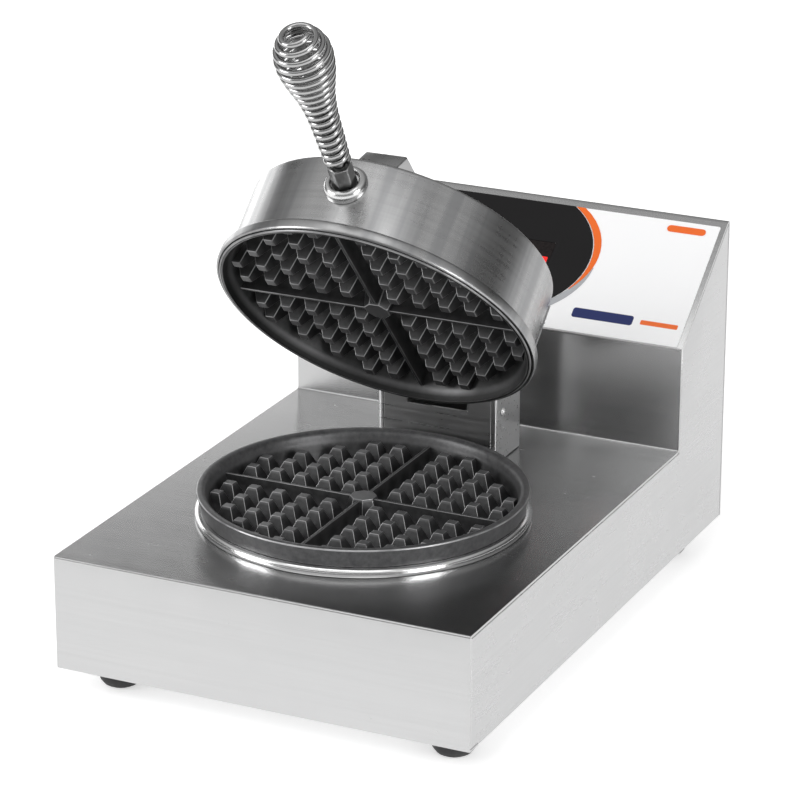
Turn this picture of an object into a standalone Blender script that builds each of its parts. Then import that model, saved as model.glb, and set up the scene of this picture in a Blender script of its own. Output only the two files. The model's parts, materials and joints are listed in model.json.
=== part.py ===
"""Single-head round waffle baker: a stepped sheet-steel housing on four feet, a cast lower grid in a
ring, a hinge tower and a drum-shaped lid with its own cast grid and a coiled-wire handle.

Every piece is laid out in the housing's own frame: X across with 0 at the middle, Y from 0 at the front
face to the back, Z from 0 at the housing's bottom edge. The empty housing_frame moves that frame so that
the origin is under the middle of the whole object, where the feet stand. The lid is laid out closed and
the empty lid_pivot swings it open about the hinge.
"""

import math

import bmesh
import bpy
from mathutils import Matrix, Vector

MM = 0.001
HALF_DIAGONAL = math.sqrt(0.5)

# Housing
WIDTH = 266.7 * MM
DEPTH = 394.6 * MM
DECK_Z = 71.6 * MM
RISER_Y = 315.2 * MM
RISER_Z = 139.2 * MM
RIDGE_Y = 391.45 * MM
RIDGE_Z = 200.4 * MM
SHEET = 1.5 * MM
SEAM = 0.3 * MM
BEND = 1.4 * MM
FRONT_LIP = 12.0 * MM
REAR_LIP = 12.0 * MM
SLOPE = math.atan2(RIDGE_Z - RISER_Z, RIDGE_Y - RISER_Y)

# Feet
FOOT_DROP = 18.0 * MM
FOOT_X = 109.0 * MM
FOOT_FRONT_Y = 33.0 * MM
FOOT_REAR_Y = 361.0 * MM

# Grids
GRID_Y = 138.6 * MM
GRID_RIM_Z = 89.0 * MM
RIM_INNER_R = 94.9 * MM
RIM_OUTER_R = 99.85 * MM
PIN_PITCH = 16.7 * MM
PIN_FIRST = 15.4 * MM
PIN_TOP = 5.8 * MM
PIN_BASE = 15.2 * MM
PIN_HEIGHT = 11.0 * MM
PIN_BELOW_RIM = 6.0 * MM
PIN_REACH = 89.5 * MM
RIB_TOP = 2.0 * MM
RIB_BASE = 4.6 * MM
RIB_BELOW_RIM = 7.0 * MM
HUB_TOP = 15.0 * MM
HUB_BASE = 21.0 * MM
LID_RIM_Z = 90.0 * MM

# Lid and hinge
HINGE_Y = 257.4 * MM
HINGE_Z = 123.2 * MM
LID_OPEN = math.radians(48.0)
DRUM_R = 94.6 * MM
DRUM_SHEET = 0.9 * MM
DRUM_BASE_Z = 98.3 * MM
DRUM_TOP_Z = 144.3 * MM
ARM_WIDTH = 27.0 * MM
ARM_TOP_Z = 168.5 * MM
PIN_R = 4.0 * MM
PIN_BORE_R = 4.08 * MM

# Hinge tower
TOWER_HALF = 40.2 * MM
TOWER_FRONT = 243.0 * MM
TOWER_REAR = 280.5 * MM
TOWER_TOP = 139.0 * MM
TOWER_SHEET = 2.0 * MM
SLOT_HALF = 20.5 * MM
SLOT_Z = 104.3 * MM

# Handle: distances run outwards along its axis from the drum's front
HANDLE_Z = 125.5 * MM
HANDLE_TILT = math.radians(11.3)
COIL_WIRE_R = 1.8 * MM
COIL_START = 19.5 * MM
COIL_END = 121.0 * MM
COIL_TURNS = 19
COIL_POINTS = 12

# Control panel: X across, S up the slope from the riser's bend, N out of the slope
LABEL_HALF = 130.0 * MM
LABEL_BOTTOM = 0.9 * MM
LABEL_TOP = 92.9 * MM
LABEL_SKIN = 0.4 * MM
OVAL_X = -12.0 * MM
OVAL_S = 54.8 * MM
OVAL_A = 65.6 * MM
OVAL_B = 50.3 * MM
KEY_R = 4.5 * MM
KEY_X = (-36.0 * MM, -12.0 * MM, 12.0 * MM)
KEY_S = 25.0 * MM
WINDOW_X = -12.0 * MM
WINDOW_S = 52.0 * MM
WINDOW_W = 78.0 * MM
WINDOW_H = 22.0 * MM

# Cord inlet
GLAND_X = 86.0 * MM
GLAND_Z = 38.0 * MM
GLAND_R = 10.0 * MM
GLAND_BORE_R = 4.5 * MM
GLAND_OUT = 6.0 * MM

# Finishes: base colour, metallic, roughness
STEEL = ((0.62, 0.62, 0.63), 1.0, 0.32)
POLISHED = ((0.78, 0.78, 0.79), 1.0, 0.08)
CAST = ((0.055, 0.055, 0.058), 0.6, 0.42)
RUBBER = ((0.015, 0.015, 0.016), 0.0, 0.75)
CHROME = ((0.75, 0.75, 0.77), 1.0, 0.06)
ZINC = ((0.55, 0.55, 0.54), 1.0, 0.35)
WHITE_FILM = ((0.86, 0.86, 0.87), 0.0, 0.3)
BLACK_FILM = ((0.018, 0.017, 0.018), 0.0, 0.25)
ORANGE_FILM = ((0.85, 0.16, 0.02), 0.0, 0.3)
GREY_FILM = ((0.42, 0.43, 0.44), 0.0, 0.3)
RED_WINDOW = ((0.12, 0.004, 0.006), 0.0, 0.12)
KEY_PLASTIC = ((0.5, 0.5, 0.52), 0.0, 0.4)
BLACK_PLASTIC = ((0.02, 0.02, 0.021), 0.0, 0.5)
MICA_WOOL = ((0.62, 0.56, 0.44), 0.0, 0.9)
ALUMINISED = ((0.5, 0.51, 0.52), 1.0, 0.45)
HEATER_SHEATH = ((0.2, 0.19, 0.18), 1.0, 0.5)
BOARD_GREEN = ((0.02, 0.16, 0.06), 0.0, 0.5)
COPPER = ((0.72, 0.4, 0.26), 1.0, 0.35)

for item in list(bpy.data.objects):
    bpy.data.objects.remove(item, do_unlink=True)

parts = bpy.data.collections.new("waffle_baker")
cutters = bpy.data.collections.new("waffle_baker_cutters")
bpy.context.scene.collection.children.link(parts)
bpy.context.scene.collection.children.link(cutters)

housing_frame = bpy.data.objects.new("housing_frame", None)
housing_frame.location = (0.0, -(DEPTH + GLAND_OUT) / 2, FOOT_DROP)
parts.objects.link(housing_frame)

lid_pivot = bpy.data.objects.new("lid_pivot", None)
lid_pivot.parent = housing_frame
lid_pivot.location = (0.0, HINGE_Y, HINGE_Z)
lid_pivot.rotation_euler.x = -LID_OPEN
parts.objects.link(lid_pivot)


def hold(obj, carrier=None):
    """Parent the object to its carrier, keeping its own numbers in the housing's frame."""
    carrier = carrier or housing_frame
    obj.parent = carrier
    if carrier is lid_pivot:
        obj.matrix_parent_inverse = Matrix.Translation((0.0, -HINGE_Y, -HINGE_Z))


def paint(obj, finish):
    colour, metallic, roughness = finish
    made = bpy.data.materials.new(obj.name)
    made.use_nodes = True
    shader = made.node_tree.nodes["Principled BSDF"]
    shader.inputs["Base Color"].default_value = (*colour, 1.0)
    shader.inputs["Metallic"].default_value = metallic
    shader.inputs["Roughness"].default_value = roughness
    made.diffuse_color = (*colour, 1.0)
    obj.data.materials.clear()
    obj.data.materials.append(made)


def part(name, mesh, finish, carrier=None, location=(0.0, 0.0, 0.0), rotation=(0.0, 0.0, 0.0)):
    obj = bpy.data.objects.new(name, mesh)
    obj.location = location
    obj.rotation_euler = rotation
    parts.objects.link(obj)
    hold(obj, carrier)
    paint(obj, finish)
    return obj


def helper(name, mesh, carrier=None, location=(0.0, 0.0, 0.0), rotation=(0.0, 0.0, 0.0)):
    obj = bpy.data.objects.new(name, mesh)
    obj.location = location
    obj.rotation_euler = rotation
    obj.hide_render = True
    obj.display_type = "WIRE"
    cutters.objects.link(obj)
    hold(obj, carrier)
    return obj


def boolean(obj, other, operation="DIFFERENCE"):
    step = obj.modifiers.new(operation.title(), "BOOLEAN")
    step.operation = operation
    step.solver = "EXACT"
    step.object = other


def bevel(obj, width, segments=2, angle=30.0):
    step = obj.modifiers.new("Bevel", "BEVEL")
    step.width = width
    step.segments = segments
    step.limit_method = "ANGLE"
    step.angle_limit = math.radians(angle)


def smooth(obj, angle=35.0):
    obj.data.polygons.foreach_set("use_smooth", [True] * len(obj.data.polygons))
    obj.data.set_sharp_from_angle(angle=math.radians(angle))


def box_mesh(size, centre=(0.0, 0.0, 0.0)):
    """A box of the given size about the given centre."""
    made = bmesh.new()
    bmesh.ops.create_cube(made, size=1.0)
    bmesh.ops.scale(made, vec=Vector(size), verts=made.verts)
    bmesh.ops.translate(made, vec=Vector(centre), verts=made.verts)
    return finished(made)


def span_mesh(low, high):
    """A box from its low corner to its high corner."""
    size = [b - a for a, b in zip(low, high)]
    centre = [(a + b) / 2 for a, b in zip(low, high)]
    return box_mesh(size, centre)


def rod_mesh(radius, length, segments=32, axis="Z", centre=(0.0, 0.0, 0.0), far_radius=None):
    made = bmesh.new()
    bmesh.ops.create_cone(
        made,
        cap_ends=True,
        segments=segments,
        radius1=radius,
        radius2=radius if far_radius is None else far_radius,
        depth=length,
    )
    if axis == "X":
        bmesh.ops.rotate(made, matrix=Matrix.Rotation(math.pi / 2, 3, "Y"), verts=made.verts)
    if axis == "Y":
        bmesh.ops.rotate(made, matrix=Matrix.Rotation(math.pi / 2, 3, "X"), verts=made.verts)
    bmesh.ops.translate(made, vec=Vector(centre), verts=made.verts)
    return finished(made)


def finished(made):
    bmesh.ops.recalc_face_normals(made, faces=made.faces)
    mesh = bpy.data.meshes.new("shape")
    made.to_mesh(mesh)
    made.free()
    return mesh


def joined_mesh(meshes):
    """Several separate closed meshes in one."""
    made = bmesh.new()
    for mesh in meshes:
        made.from_mesh(mesh)
        bpy.data.meshes.remove(mesh)
    joined = bpy.data.meshes.new("shape")
    made.to_mesh(joined)
    made.free()
    return joined


def prism_mesh(outline, depth, holes=()):
    """A flat outline with optional holes in XY, filled and given depth from Z 0 upwards."""
    curve = bpy.data.curves.new("outline", "CURVE")
    curve.dimensions = "2D"
    curve.fill_mode = "BOTH"
    curve.extrude = depth / 2
    for loop in (outline, *holes):
        spline = curve.splines.new("POLY")
        spline.points.add(len(loop) - 1)
        for point, (x, y) in zip(spline.points, loop):
            point.co = (x, y, 0.0, 1.0)
        spline.use_cyclic_u = True
    holder = bpy.data.objects.new("outline", curve)
    cutters.objects.link(holder)
    bpy.context.view_layer.update()
    filled = bpy.data.meshes.new_from_object(holder.evaluated_get(bpy.context.evaluated_depsgraph_get()))
    bpy.data.objects.remove(holder, do_unlink=True)
    made = bmesh.new()
    made.from_mesh(filled)
    bmesh.ops.remove_doubles(made, verts=made.verts, dist=0.000001)
    bmesh.ops.translate(made, vec=Vector((0.0, 0.0, depth / 2)), verts=made.verts)
    bpy.data.meshes.remove(filled)
    return finished(made)


def side_prism_mesh(outline, low_x, high_x):
    """An outline in YZ, given depth along X."""
    mesh = prism_mesh(outline, high_x - low_x)
    mesh.transform(Matrix(((0, 0, 1, low_x), (1, 0, 0, 0), (0, 1, 0, 0), (0, 0, 0, 1))))
    return mesh


def turned(name, profile, finish, carrier=None, location=(0, 0, 0), rotation=(0, 0, 0), steps=64, loop=False):
    """A turned piece. The profile runs down its outer side; loop closes it when it stays off the axis."""
    mesh = bpy.data.meshes.new(name)
    links = [(i, i + 1) for i in range(len(profile) - 1)]
    if loop:
        links.append((len(profile) - 1, 0))
    mesh.from_pydata([(r, 0.0, z) for r, z in profile], links, [])
    obj = part(name, mesh, finish, carrier, location, rotation)
    turn = obj.modifiers.new("Turn", "SCREW")
    turn.steps = steps
    turn.render_steps = steps
    turn.use_merge_vertices = True
    turn.merge_threshold = 0.00001
    turn.use_smooth_shade = True
    return obj


def arc(centre, radius, start, end, count):
    """Points on an arc in a profile, from one angle in degrees to another."""
    found = []
    for i in range(count + 1):
        angle = math.radians(start + (end - start) * i / count)
        found.append((centre[0] + radius * math.cos(angle), centre[1] + radius * math.sin(angle)))
    return found


def ring_points(x, y, radius, count):
    return [
        (x + radius * math.cos(math.tau * i / count), y + radius * math.sin(math.tau * i / count))
        for i in range(count)
    ]


def rounded_box_points(x, y, width, height, radius, count=3):
    corners = (
        (x + width / 2 - radius, y + height / 2 - radius, 0),
        (x - width / 2 + radius, y + height / 2 - radius, 90),
        (x - width / 2 + radius, y - height / 2 + radius, 180),
        (x + width / 2 - radius, y - height / 2 + radius, 270),
    )
    found = []
    for cx, cy, start in corners:
        found.extend(arc((cx, cy), radius, start, start + 90, count))
    return found


def inset(outline, distance):
    """A clockwise outline moved inwards by a distance, with sharp corners kept."""
    found = []
    count = len(outline)
    for i in range(count):
        before, here, after = (Vector(outline[(i + k) % count]) for k in (-1, 0, 1))
        first = (here - before).normalized()
        second = (after - here).normalized()
        first_in = Vector((first.y, -first.x))
        second_in = Vector((second.y, -second.x))
        share = distance / (1.0 + first_in.dot(second_in))
        found.append(tuple(here + (first_in + second_in) * share))
    return found


# ---- Housing ----
housing_outline = [
    (0.0, 0.0),
    (0.0, DECK_Z),
    (RISER_Y, DECK_Z),
    (RISER_Y, RISER_Z),
    (RIDGE_Y, RIDGE_Z),
    (DEPTH, RIDGE_Z),
    (DEPTH, 0.0),
]
wrap_path = [
    (FRONT_LIP, 0.0),
    *housing_outline[:6],
    (DEPTH, RIDGE_Z - REAR_LIP),
]


def slope_place(x, s, n):
    """A point on the slanted face, in the housing's frame."""
    along = Vector((0.0, math.cos(SLOPE), math.sin(SLOPE)))
    out = Vector((0.0, -math.sin(SLOPE), math.cos(SLOPE)))
    return Vector((x, RISER_Y, RISER_Z)) + along * s + out * n


# One sheet bent from the front lip over the deck, riser, slant and ridge to the rear lip
strip = bmesh.new()
left = [strip.verts.new((-WIDTH / 2, y, z)) for y, z in wrap_path]
right = [strip.verts.new((WIDTH / 2, y, z)) for y, z in wrap_path]
for i in range(len(wrap_path) - 1):
    strip.faces.new((left[i], right[i], right[i + 1], left[i + 1]))
strip_mesh = bpy.data.meshes.new("body_wrap")
strip.to_mesh(strip_mesh)
strip.free()
body_wrap = part("body_wrap", strip_mesh, STEEL)
bevel(body_wrap, BEND, 3, 20.0)
gauge = body_wrap.modifiers.new("Gauge", "SOLIDIFY")
gauge.thickness = SHEET
gauge.offset = -1.0
gauge.use_even_offset = True

GRID_HOLE_R = 96.3 * MM
grid_hole = helper("cut_grid_hole", rod_mesh(GRID_HOLE_R, 20 * MM, 48, "Z", (0.0, GRID_Y, DECK_Z)))
boolean(body_wrap, grid_hole)
wire_way = helper("cut_wire_way", rod_mesh(9 * MM, 20 * MM, 24, "Z", (0.0, 264 * MM, DECK_Z)))
boolean(body_wrap, wire_way)
panel_holes = [
    rod_mesh(KEY_R + 0.4 * MM, 12 * MM, 24, "Z", (x, KEY_S, 0.0)) for x in KEY_X
]
panel_holes.append(box_mesh((WINDOW_W + 0.8 * MM, WINDOW_H + 0.8 * MM, 12 * MM), (WINDOW_X, WINDOW_S, 0.0)))
panel_cut = helper("cut_panel", joined_mesh(panel_holes), None, slope_place(0.0, 0.0, 0.0), (SLOPE, 0.0, 0.0))
boolean(body_wrap, panel_cut)

# Side panels, set inside the bent sheet so that its edge shows round them
side_outline = inset(housing_outline, SHEET + SEAM)
side_outline[0] = (SHEET + SEAM, SHEET + SEAM)
side_outline[6] = (DEPTH - SHEET - SEAM, 0.0)
side_outline.append((FRONT_LIP + SEAM, 0.0))
side_outline.append((FRONT_LIP + SEAM, SHEET + SEAM))
for name, outer in (("side_panel_left", -WIDTH / 2), ("side_panel_right", WIDTH / 2)):
    low, high = sorted((outer, outer - math.copysign(SHEET, outer)))
    side = part(name, side_prism_mesh(side_outline, low, high), STEEL)
    bevel(side, 0.35 * MM, 1)

# Rear panel with a row of vent slots, the cord inlet's hole and four screw holes
rear_height = RIDGE_Z - REAR_LIP - SEAM
rear_holes = [
    rounded_box_points(x * MM, 148 * MM, 3.2 * MM, 44 * MM, 1.1 * MM, 1) for x in range(-78, 79, 12)
]
rear_holes.append(ring_points(GLAND_X, GLAND_Z, GLAND_R + 0.3 * MM, 32))
REAR_SCREWS = [(x * MM, z * MM) for x in (-122, 122) for z in (14, 174)]
for x, z in REAR_SCREWS:
    rear_holes.append(ring_points(x, z, 2.0 * MM, 12))
rear_outline = [(-WIDTH / 2, 0.0), (WIDTH / 2, 0.0), (WIDTH / 2, rear_height), (-WIDTH / 2, rear_height)]
rear_panel = part(
    "rear_panel",
    prism_mesh(rear_outline, SHEET, rear_holes),
    STEEL,
    None,
    (0.0, DEPTH, 0.0),
    (math.pi / 2, 0.0, 0.0),
)
for i, (x, z) in enumerate(REAR_SCREWS):
    head = [
        (0.0, 2.2 * MM),
        (2.2 * MM, 1.8 * MM),
        (3.4 * MM, 0.3 * MM),
        (1.7 * MM, 0.3 * MM),
        (1.7 * MM, -7 * MM),
        (0.0, -7 * MM),
    ]
    turned("rear_screw_%d" % (i + 1), head, ZINC, None, (x, DEPTH, z), (-math.pi / 2, 0.0, 0.0), 10)

# Bottom cover with vent slots and holes for the feet's studs
BOTTOM_Z = SHEET + SEAM
cover_half = WIDTH / 2 - SHEET - SEAM
cover_low = SHEET + SEAM
cover_high = DEPTH - SHEET - SEAM
cover_outline = [
    (-cover_half, cover_low),
    (cover_half, cover_low),
    (cover_half, cover_high),
    (-cover_half, cover_high),
]
FEET = {
    "foot_front_left": (-FOOT_X, FOOT_FRONT_Y),
    "foot_front_right": (FOOT_X, FOOT_FRONT_Y),
    "foot_rear_left": (-FOOT_X, FOOT_REAR_Y),
    "foot_rear_right": (FOOT_X, FOOT_REAR_Y),
}
cover_holes = [
    rounded_box_points(x * MM, 300 * MM, 3.2 * MM, 50 * MM, 1.1 * MM, 1) for x in range(-66, 67, 12)
]
for x, y in FEET.values():
    cover_holes.append(ring_points(x, y, 3.4 * MM, 16))
part("bottom_cover", prism_mesh(cover_outline, SHEET, cover_holes), ALUMINISED, None, (0.0, 0.0, BOTTOM_Z))

# Feet: rubber domes moulded on a stud
foot_profile = [
    (0.0, 12.0 * MM),
    (3.0 * MM, 12.0 * MM),
    (3.0 * MM, 1.5 * MM),
    (14.0 * MM, 1.5 * MM),
    (15.0 * MM, 0.4 * MM),
    (15.0 * MM, -4.0 * MM),
    (14.4 * MM, -9.0 * MM),
    (12.9 * MM, -13.5 * MM),
    (10.6 * MM, -16.6 * MM),
    (8.0 * MM, -FOOT_DROP),
    (0.0, -FOOT_DROP),
]
for name, (x, y) in FEET.items():
    turned(name, foot_profile, RUBBER, None, (x, y, 0.0), (0.0, 0.0, 0.0), 22)

# Cord inlet bushing, through the rear panel, with no cord in it
gland_profile = [
    (13.5 * MM, GLAND_OUT - 4.6 * MM),
    (13.5 * MM, SEAM),
    (GLAND_R, SEAM),
    (GLAND_R, -10.0 * MM),
    (GLAND_BORE_R, -10.0 * MM),
    (GLAND_BORE_R, GLAND_OUT),
    (8.6 * MM, GLAND_OUT),
    (9.6 * MM, GLAND_OUT - 1.2 * MM),
    (10.6 * MM, GLAND_OUT - 4.0 * MM),
]
gland_place = (GLAND_X, DEPTH, GLAND_Z)
turned("cord_inlet", gland_profile, BLACK_PLASTIC, None, gland_place, (-math.pi / 2, 0.0, 0.0), 24, True)

# ---- Cast grids ----


def waffle_plate(name, profile, clip_r, floor, carrier, location, rotation):
    """A round cast plate, rim plane at Z 0 and its cells below, with pins, two crossing ribs and a hub."""
    plate = turned(name, profile, CAST, carrier, location, rotation, 48)
    pins = []
    tip = -PIN_BELOW_RIM
    root = -floor - 1.0 * MM
    flare = (PIN_BASE - PIN_TOP) / PIN_HEIGHT
    base = PIN_TOP + flare * (tip - root)
    steps = [PIN_FIRST + PIN_PITCH * k for k in range(5)]
    for x in steps:
        for y in steps:
            if math.hypot(x, y) > PIN_REACH:
                continue
            for sx in (-1, 1):
                for sy in (-1, 1):
                    pin = rod_mesh(base * HALF_DIAGONAL, tip - root, 4, far_radius=PIN_TOP * HALF_DIAGONAL)
                    turn = Matrix.Rotation(math.pi / 4, 4, "Z")
                    pin.transform(Matrix.Translation((sx * x, sy * y, (tip + root) / 2)) @ turn)
                    pins.append(pin)
    field = helper("form_pins_" + name, joined_mesh(pins), carrier, location, rotation)
    clip = helper("form_clip_" + name, rod_mesh(clip_r, 60 * MM, 48), carrier, location, rotation)
    boolean(field, clip, "INTERSECT")
    boolean(plate, field, "UNION")
    for turn in (0.0, math.pi / 2):
        reach_x = clip_r - 0.6 * MM
        rib = span_mesh((-reach_x, -RIB_BASE / 2, root), (reach_x, RIB_BASE / 2, -RIB_BELOW_RIM))
        for vertex in rib.vertices:
            if vertex.co.z > root + MM:
                vertex.co.y *= RIB_TOP / RIB_BASE
        rib.transform(Matrix.Rotation(turn, 4, "Z"))
        reach = helper("form_rib_%s_%d" % (name, round(math.degrees(turn))), rib, carrier, location, rotation)
        boolean(plate, reach, "UNION")
    hub_high = -RIB_BELOW_RIM + 1.0 * MM
    hub = rod_mesh(
        HUB_BASE / 2 / math.cos(math.pi / 8),
        hub_high - root,
        8,
        "Z",
        (0.0, 0.0, (hub_high + root) / 2),
        HUB_TOP / 2 / math.cos(math.pi / 8),
    )
    hub.transform(Matrix.Rotation(math.pi / 8, 4, "Z"))
    boolean(plate, helper("form_hub_" + name, hub, carrier, location, rotation), "UNION")
    return plate


FLOOR = PIN_BELOW_RIM + PIN_HEIGHT
lower_profile = [
    (0.0, -FLOOR),
    (89.0 * MM, -FLOOR),
    (93.0 * MM, -7.0 * MM),
    (RIM_INNER_R, -0.4 * MM),
    (95.4 * MM, 0.0),
    (99.1 * MM, 0.0),
    (RIM_OUTER_R, -0.8 * MM),
    (97.6 * MM, -11.7 * MM),
    (95.6 * MM, -11.7 * MM),
    (95.6 * MM, -24.0 * MM),
    (0.0, -24.0 * MM),
]
waffle_plate("lower_grid", lower_profile, 94.4 * MM, FLOOR, None, (0.0, GRID_Y, GRID_RIM_Z), (0.0, 0.0, 0.0))

upper_profile = [
    (0.0, -FLOOR),
    (88.6 * MM, -FLOOR),
    (91.9 * MM, -6.0 * MM),
    (RIM_INNER_R, -0.4 * MM),
    (95.3 * MM, 0.0),
    (97.1 * MM, 0.0),
    (97.6 * MM, -0.5 * MM),
    (97.6 * MM, -5.4 * MM),
    (93.4 * MM, -5.4 * MM),
    (93.4 * MM, -24.0 * MM),
    (0.0, -24.0 * MM),
]
upper_place = (0.0, GRID_Y, LID_RIM_Z)
waffle_plate("upper_grid", upper_profile, 92.2 * MM, FLOOR, lid_pivot, upper_place, (math.pi, 0.0, 0.0))

# Polished ring between the lower grid and the deck
ring_low = DECK_Z + SEAM
ring_high = GRID_RIM_Z - 11.7 * MM - SEAM
ring_profile = [
    (96.3 * MM, ring_high),
    (98.6 * MM, ring_high),
    (100.2 * MM, ring_high - 0.7 * MM),
    (101.1 * MM, ring_high - 2.0 * MM),
    (101.2 * MM, ring_high - 3.4 * MM),
    (100.6 * MM, ring_low),
    (96.3 * MM, ring_low),
]
turned("lower_ring", ring_profile, POLISHED, None, (0.0, GRID_Y, 0.0), (0.0, 0.0, 0.0), 48, True)


def heater(name, z, carrier):
    """A sheathed element bent to an open ring, both ends turned outwards."""
    curve = bpy.data.curves.new(name, "CURVE")
    curve.dimensions = "3D"
    curve.bevel_depth = 3.6 * MM
    curve.bevel_resolution = 1
    curve.use_fill_caps = True
    points = []
    for i in range(31):
        angle = math.radians(108 + (432 - 108) * i / 30)
        points.append((62 * MM * math.cos(angle), 62 * MM * math.sin(angle)))
    points.insert(0, (-19 * MM, 84 * MM))
    points.append((19 * MM, 84 * MM))
    spline = curve.splines.new("POLY")
    spline.points.add(len(points) - 1)
    for point, (x, y) in zip(spline.points, points):
        point.co = (x, y, 0.0, 1.0)
    return solid_curve(name, curve, HEATER_SHEATH, carrier, (0.0, GRID_Y, z))


def solid_curve(name, curve, finish, carrier, location, rotation=(0.0, 0.0, 0.0)):
    """The curve's tube as a closed mesh object."""
    holder = bpy.data.objects.new("guide", curve)
    cutters.objects.link(holder)
    bpy.context.view_layer.update()
    tube = bpy.data.meshes.new_from_object(holder.evaluated_get(bpy.context.evaluated_depsgraph_get()))
    bpy.data.objects.remove(holder, do_unlink=True)
    made = bmesh.new()
    made.from_mesh(tube)
    bmesh.ops.remove_doubles(made, verts=made.verts, dist=0.000001)
    bpy.data.meshes.remove(tube)
    obj = part(name, finished(made), finish, carrier, location, rotation)
    smooth(obj, 50.0)
    return obj


heater("lower_heater", GRID_RIM_Z - 24.0 * MM - 4.0 * MM, None)
heater("upper_heater", LID_RIM_Z + 24.0 * MM + 4.0 * MM, lid_pivot)

# Insulation under the lower heater, in its pan; and above the upper heater in the drum
for name, radius, z, carrier in (
    ("lower_insulation", 89.0 * MM, 44.0 * MM, None),
    ("upper_insulation", 81.0 * MM, 124.0 * MM, lid_pivot),
):
    disc = [(0.0, 11.0 * MM), (radius, 11.0 * MM), (radius, 0.0), (0.0, 0.0)]
    turned(name, disc, MICA_WOOL, carrier, (0.0, GRID_Y, z), (0, 0, 0), 32)
pan_profile = [
    (0.0, 0.8 * MM),
    (90.6 * MM, 0.8 * MM),
    (90.6 * MM, 20.0 * MM),
    (91.4 * MM, 20.0 * MM),
    (91.4 * MM, 0.0),
    (0.0, 0.0),
]
turned("heat_pan", pan_profile, ALUMINISED, None, (0.0, GRID_Y, 42.6 * MM), (0, 0, 0), 48)

# Thermostat's sensing bulb under the lower grid
bulb = part(
    "sensor_bulb",
    rod_mesh(3.0 * MM, 46.0 * MM, 20, "X", (0.0, GRID_Y - 8.0 * MM, GRID_RIM_Z - 24.0 * MM - 3.4 * MM)),
    COPPER,
)
bevel(bulb, 0.8 * MM, 2)
smooth(bulb)

# ---- Lid drum ----
corner = 2.2 * MM
drum_profile = [(0.0, DRUM_TOP_Z)]
drum_profile += arc((DRUM_R - corner, DRUM_TOP_Z - corner), corner, 90, 0, 4)
drum_profile += [
    (DRUM_R, DRUM_BASE_Z),
    (DRUM_R - DRUM_SHEET, DRUM_BASE_Z),
    (DRUM_R - DRUM_SHEET, DRUM_TOP_Z - corner),
    (DRUM_R - corner, DRUM_TOP_Z - DRUM_SHEET),
    (0.0, DRUM_TOP_Z - DRUM_SHEET),
]
lid_drum = turned("lid_drum", drum_profile, STEEL, lid_pivot, (0.0, GRID_Y, 0.0), (0, 0, 0), 64)

flange_low = LID_RIM_Z + 1.1 * MM
flange_high = DRUM_BASE_Z - SEAM
shelf = LID_RIM_Z + 5.4 * MM + SEAM
flange_profile = [(93.7 * MM, flange_high), (98.4 * MM, flange_high)]
flange_profile += [
    (99.3 * MM, flange_high - 0.5 * MM),
    (99.75 * MM, flange_high - 1.6 * MM),
    (99.75 * MM, flange_low + 1.2 * MM),
    (99.2 * MM, flange_low),
    (98.3 * MM, flange_low),
    (98.0 * MM, flange_low + 0.4 * MM),
    (98.0 * MM, shelf),
    (93.7 * MM, shelf),
]
turned("lid_flange", flange_profile, STEEL, lid_pivot, (0.0, GRID_Y, 0.0), (0, 0, 0), 64, True)

# Lap strip down the drum's side, with two rivets
STRIP_ANGLE = math.radians(33.0)
strip_skin = 1.1 * MM
strip_low = DRUM_BASE_Z + 2.0 * MM
strip_high = DRUM_TOP_Z - 3.0 * MM
half_span = 4.6
inner = arc((0.0, 0.0), DRUM_R + 0.3 * MM, -half_span, half_span, 4)
outer = arc((0.0, 0.0), DRUM_R + 0.3 * MM + strip_skin, half_span, -half_span, 4)
lap = part(
    "lap_strip",
    prism_mesh(inner + outer, strip_high - strip_low),
    STEEL,
    lid_pivot,
    (0.0, GRID_Y, strip_low),
    (0.0, 0.0, STRIP_ANGLE),
)
rivet_holes = []
for z in (8 * MM, 34 * MM):
    rivet_holes.append(rod_mesh(1.6 * MM, 8 * MM, 12, "X", (DRUM_R, 0.0, z)))
strip_turn = (0.0, 0.0, STRIP_ANGLE)
rivet_cut = helper("cut_rivets", joined_mesh(rivet_holes), lid_pivot, (0.0, GRID_Y, strip_low), strip_turn)
boolean(lap, rivet_cut)
boolean(lid_drum, rivet_cut)
rivet_profile = [
    (0.0, 1.5 * MM),
    (1.6 * MM, 1.2 * MM),
    (2.8 * MM, 0.2 * MM),
    (1.3 * MM, 0.2 * MM),
    (1.3 * MM, -2.1 * MM),
    (0.0, -2.1 * MM),
]
for name, z in (("rivet_low", 8 * MM), ("rivet_high", 34 * MM)):
    reach = DRUM_R + 0.3 * MM + strip_skin
    place = (reach * math.cos(STRIP_ANGLE), GRID_Y + reach * math.sin(STRIP_ANGLE), strip_low + z)
    turned(name, rivet_profile, POLISHED, lid_pivot, place, (0.0, math.pi / 2, STRIP_ANGLE), 12)

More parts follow.
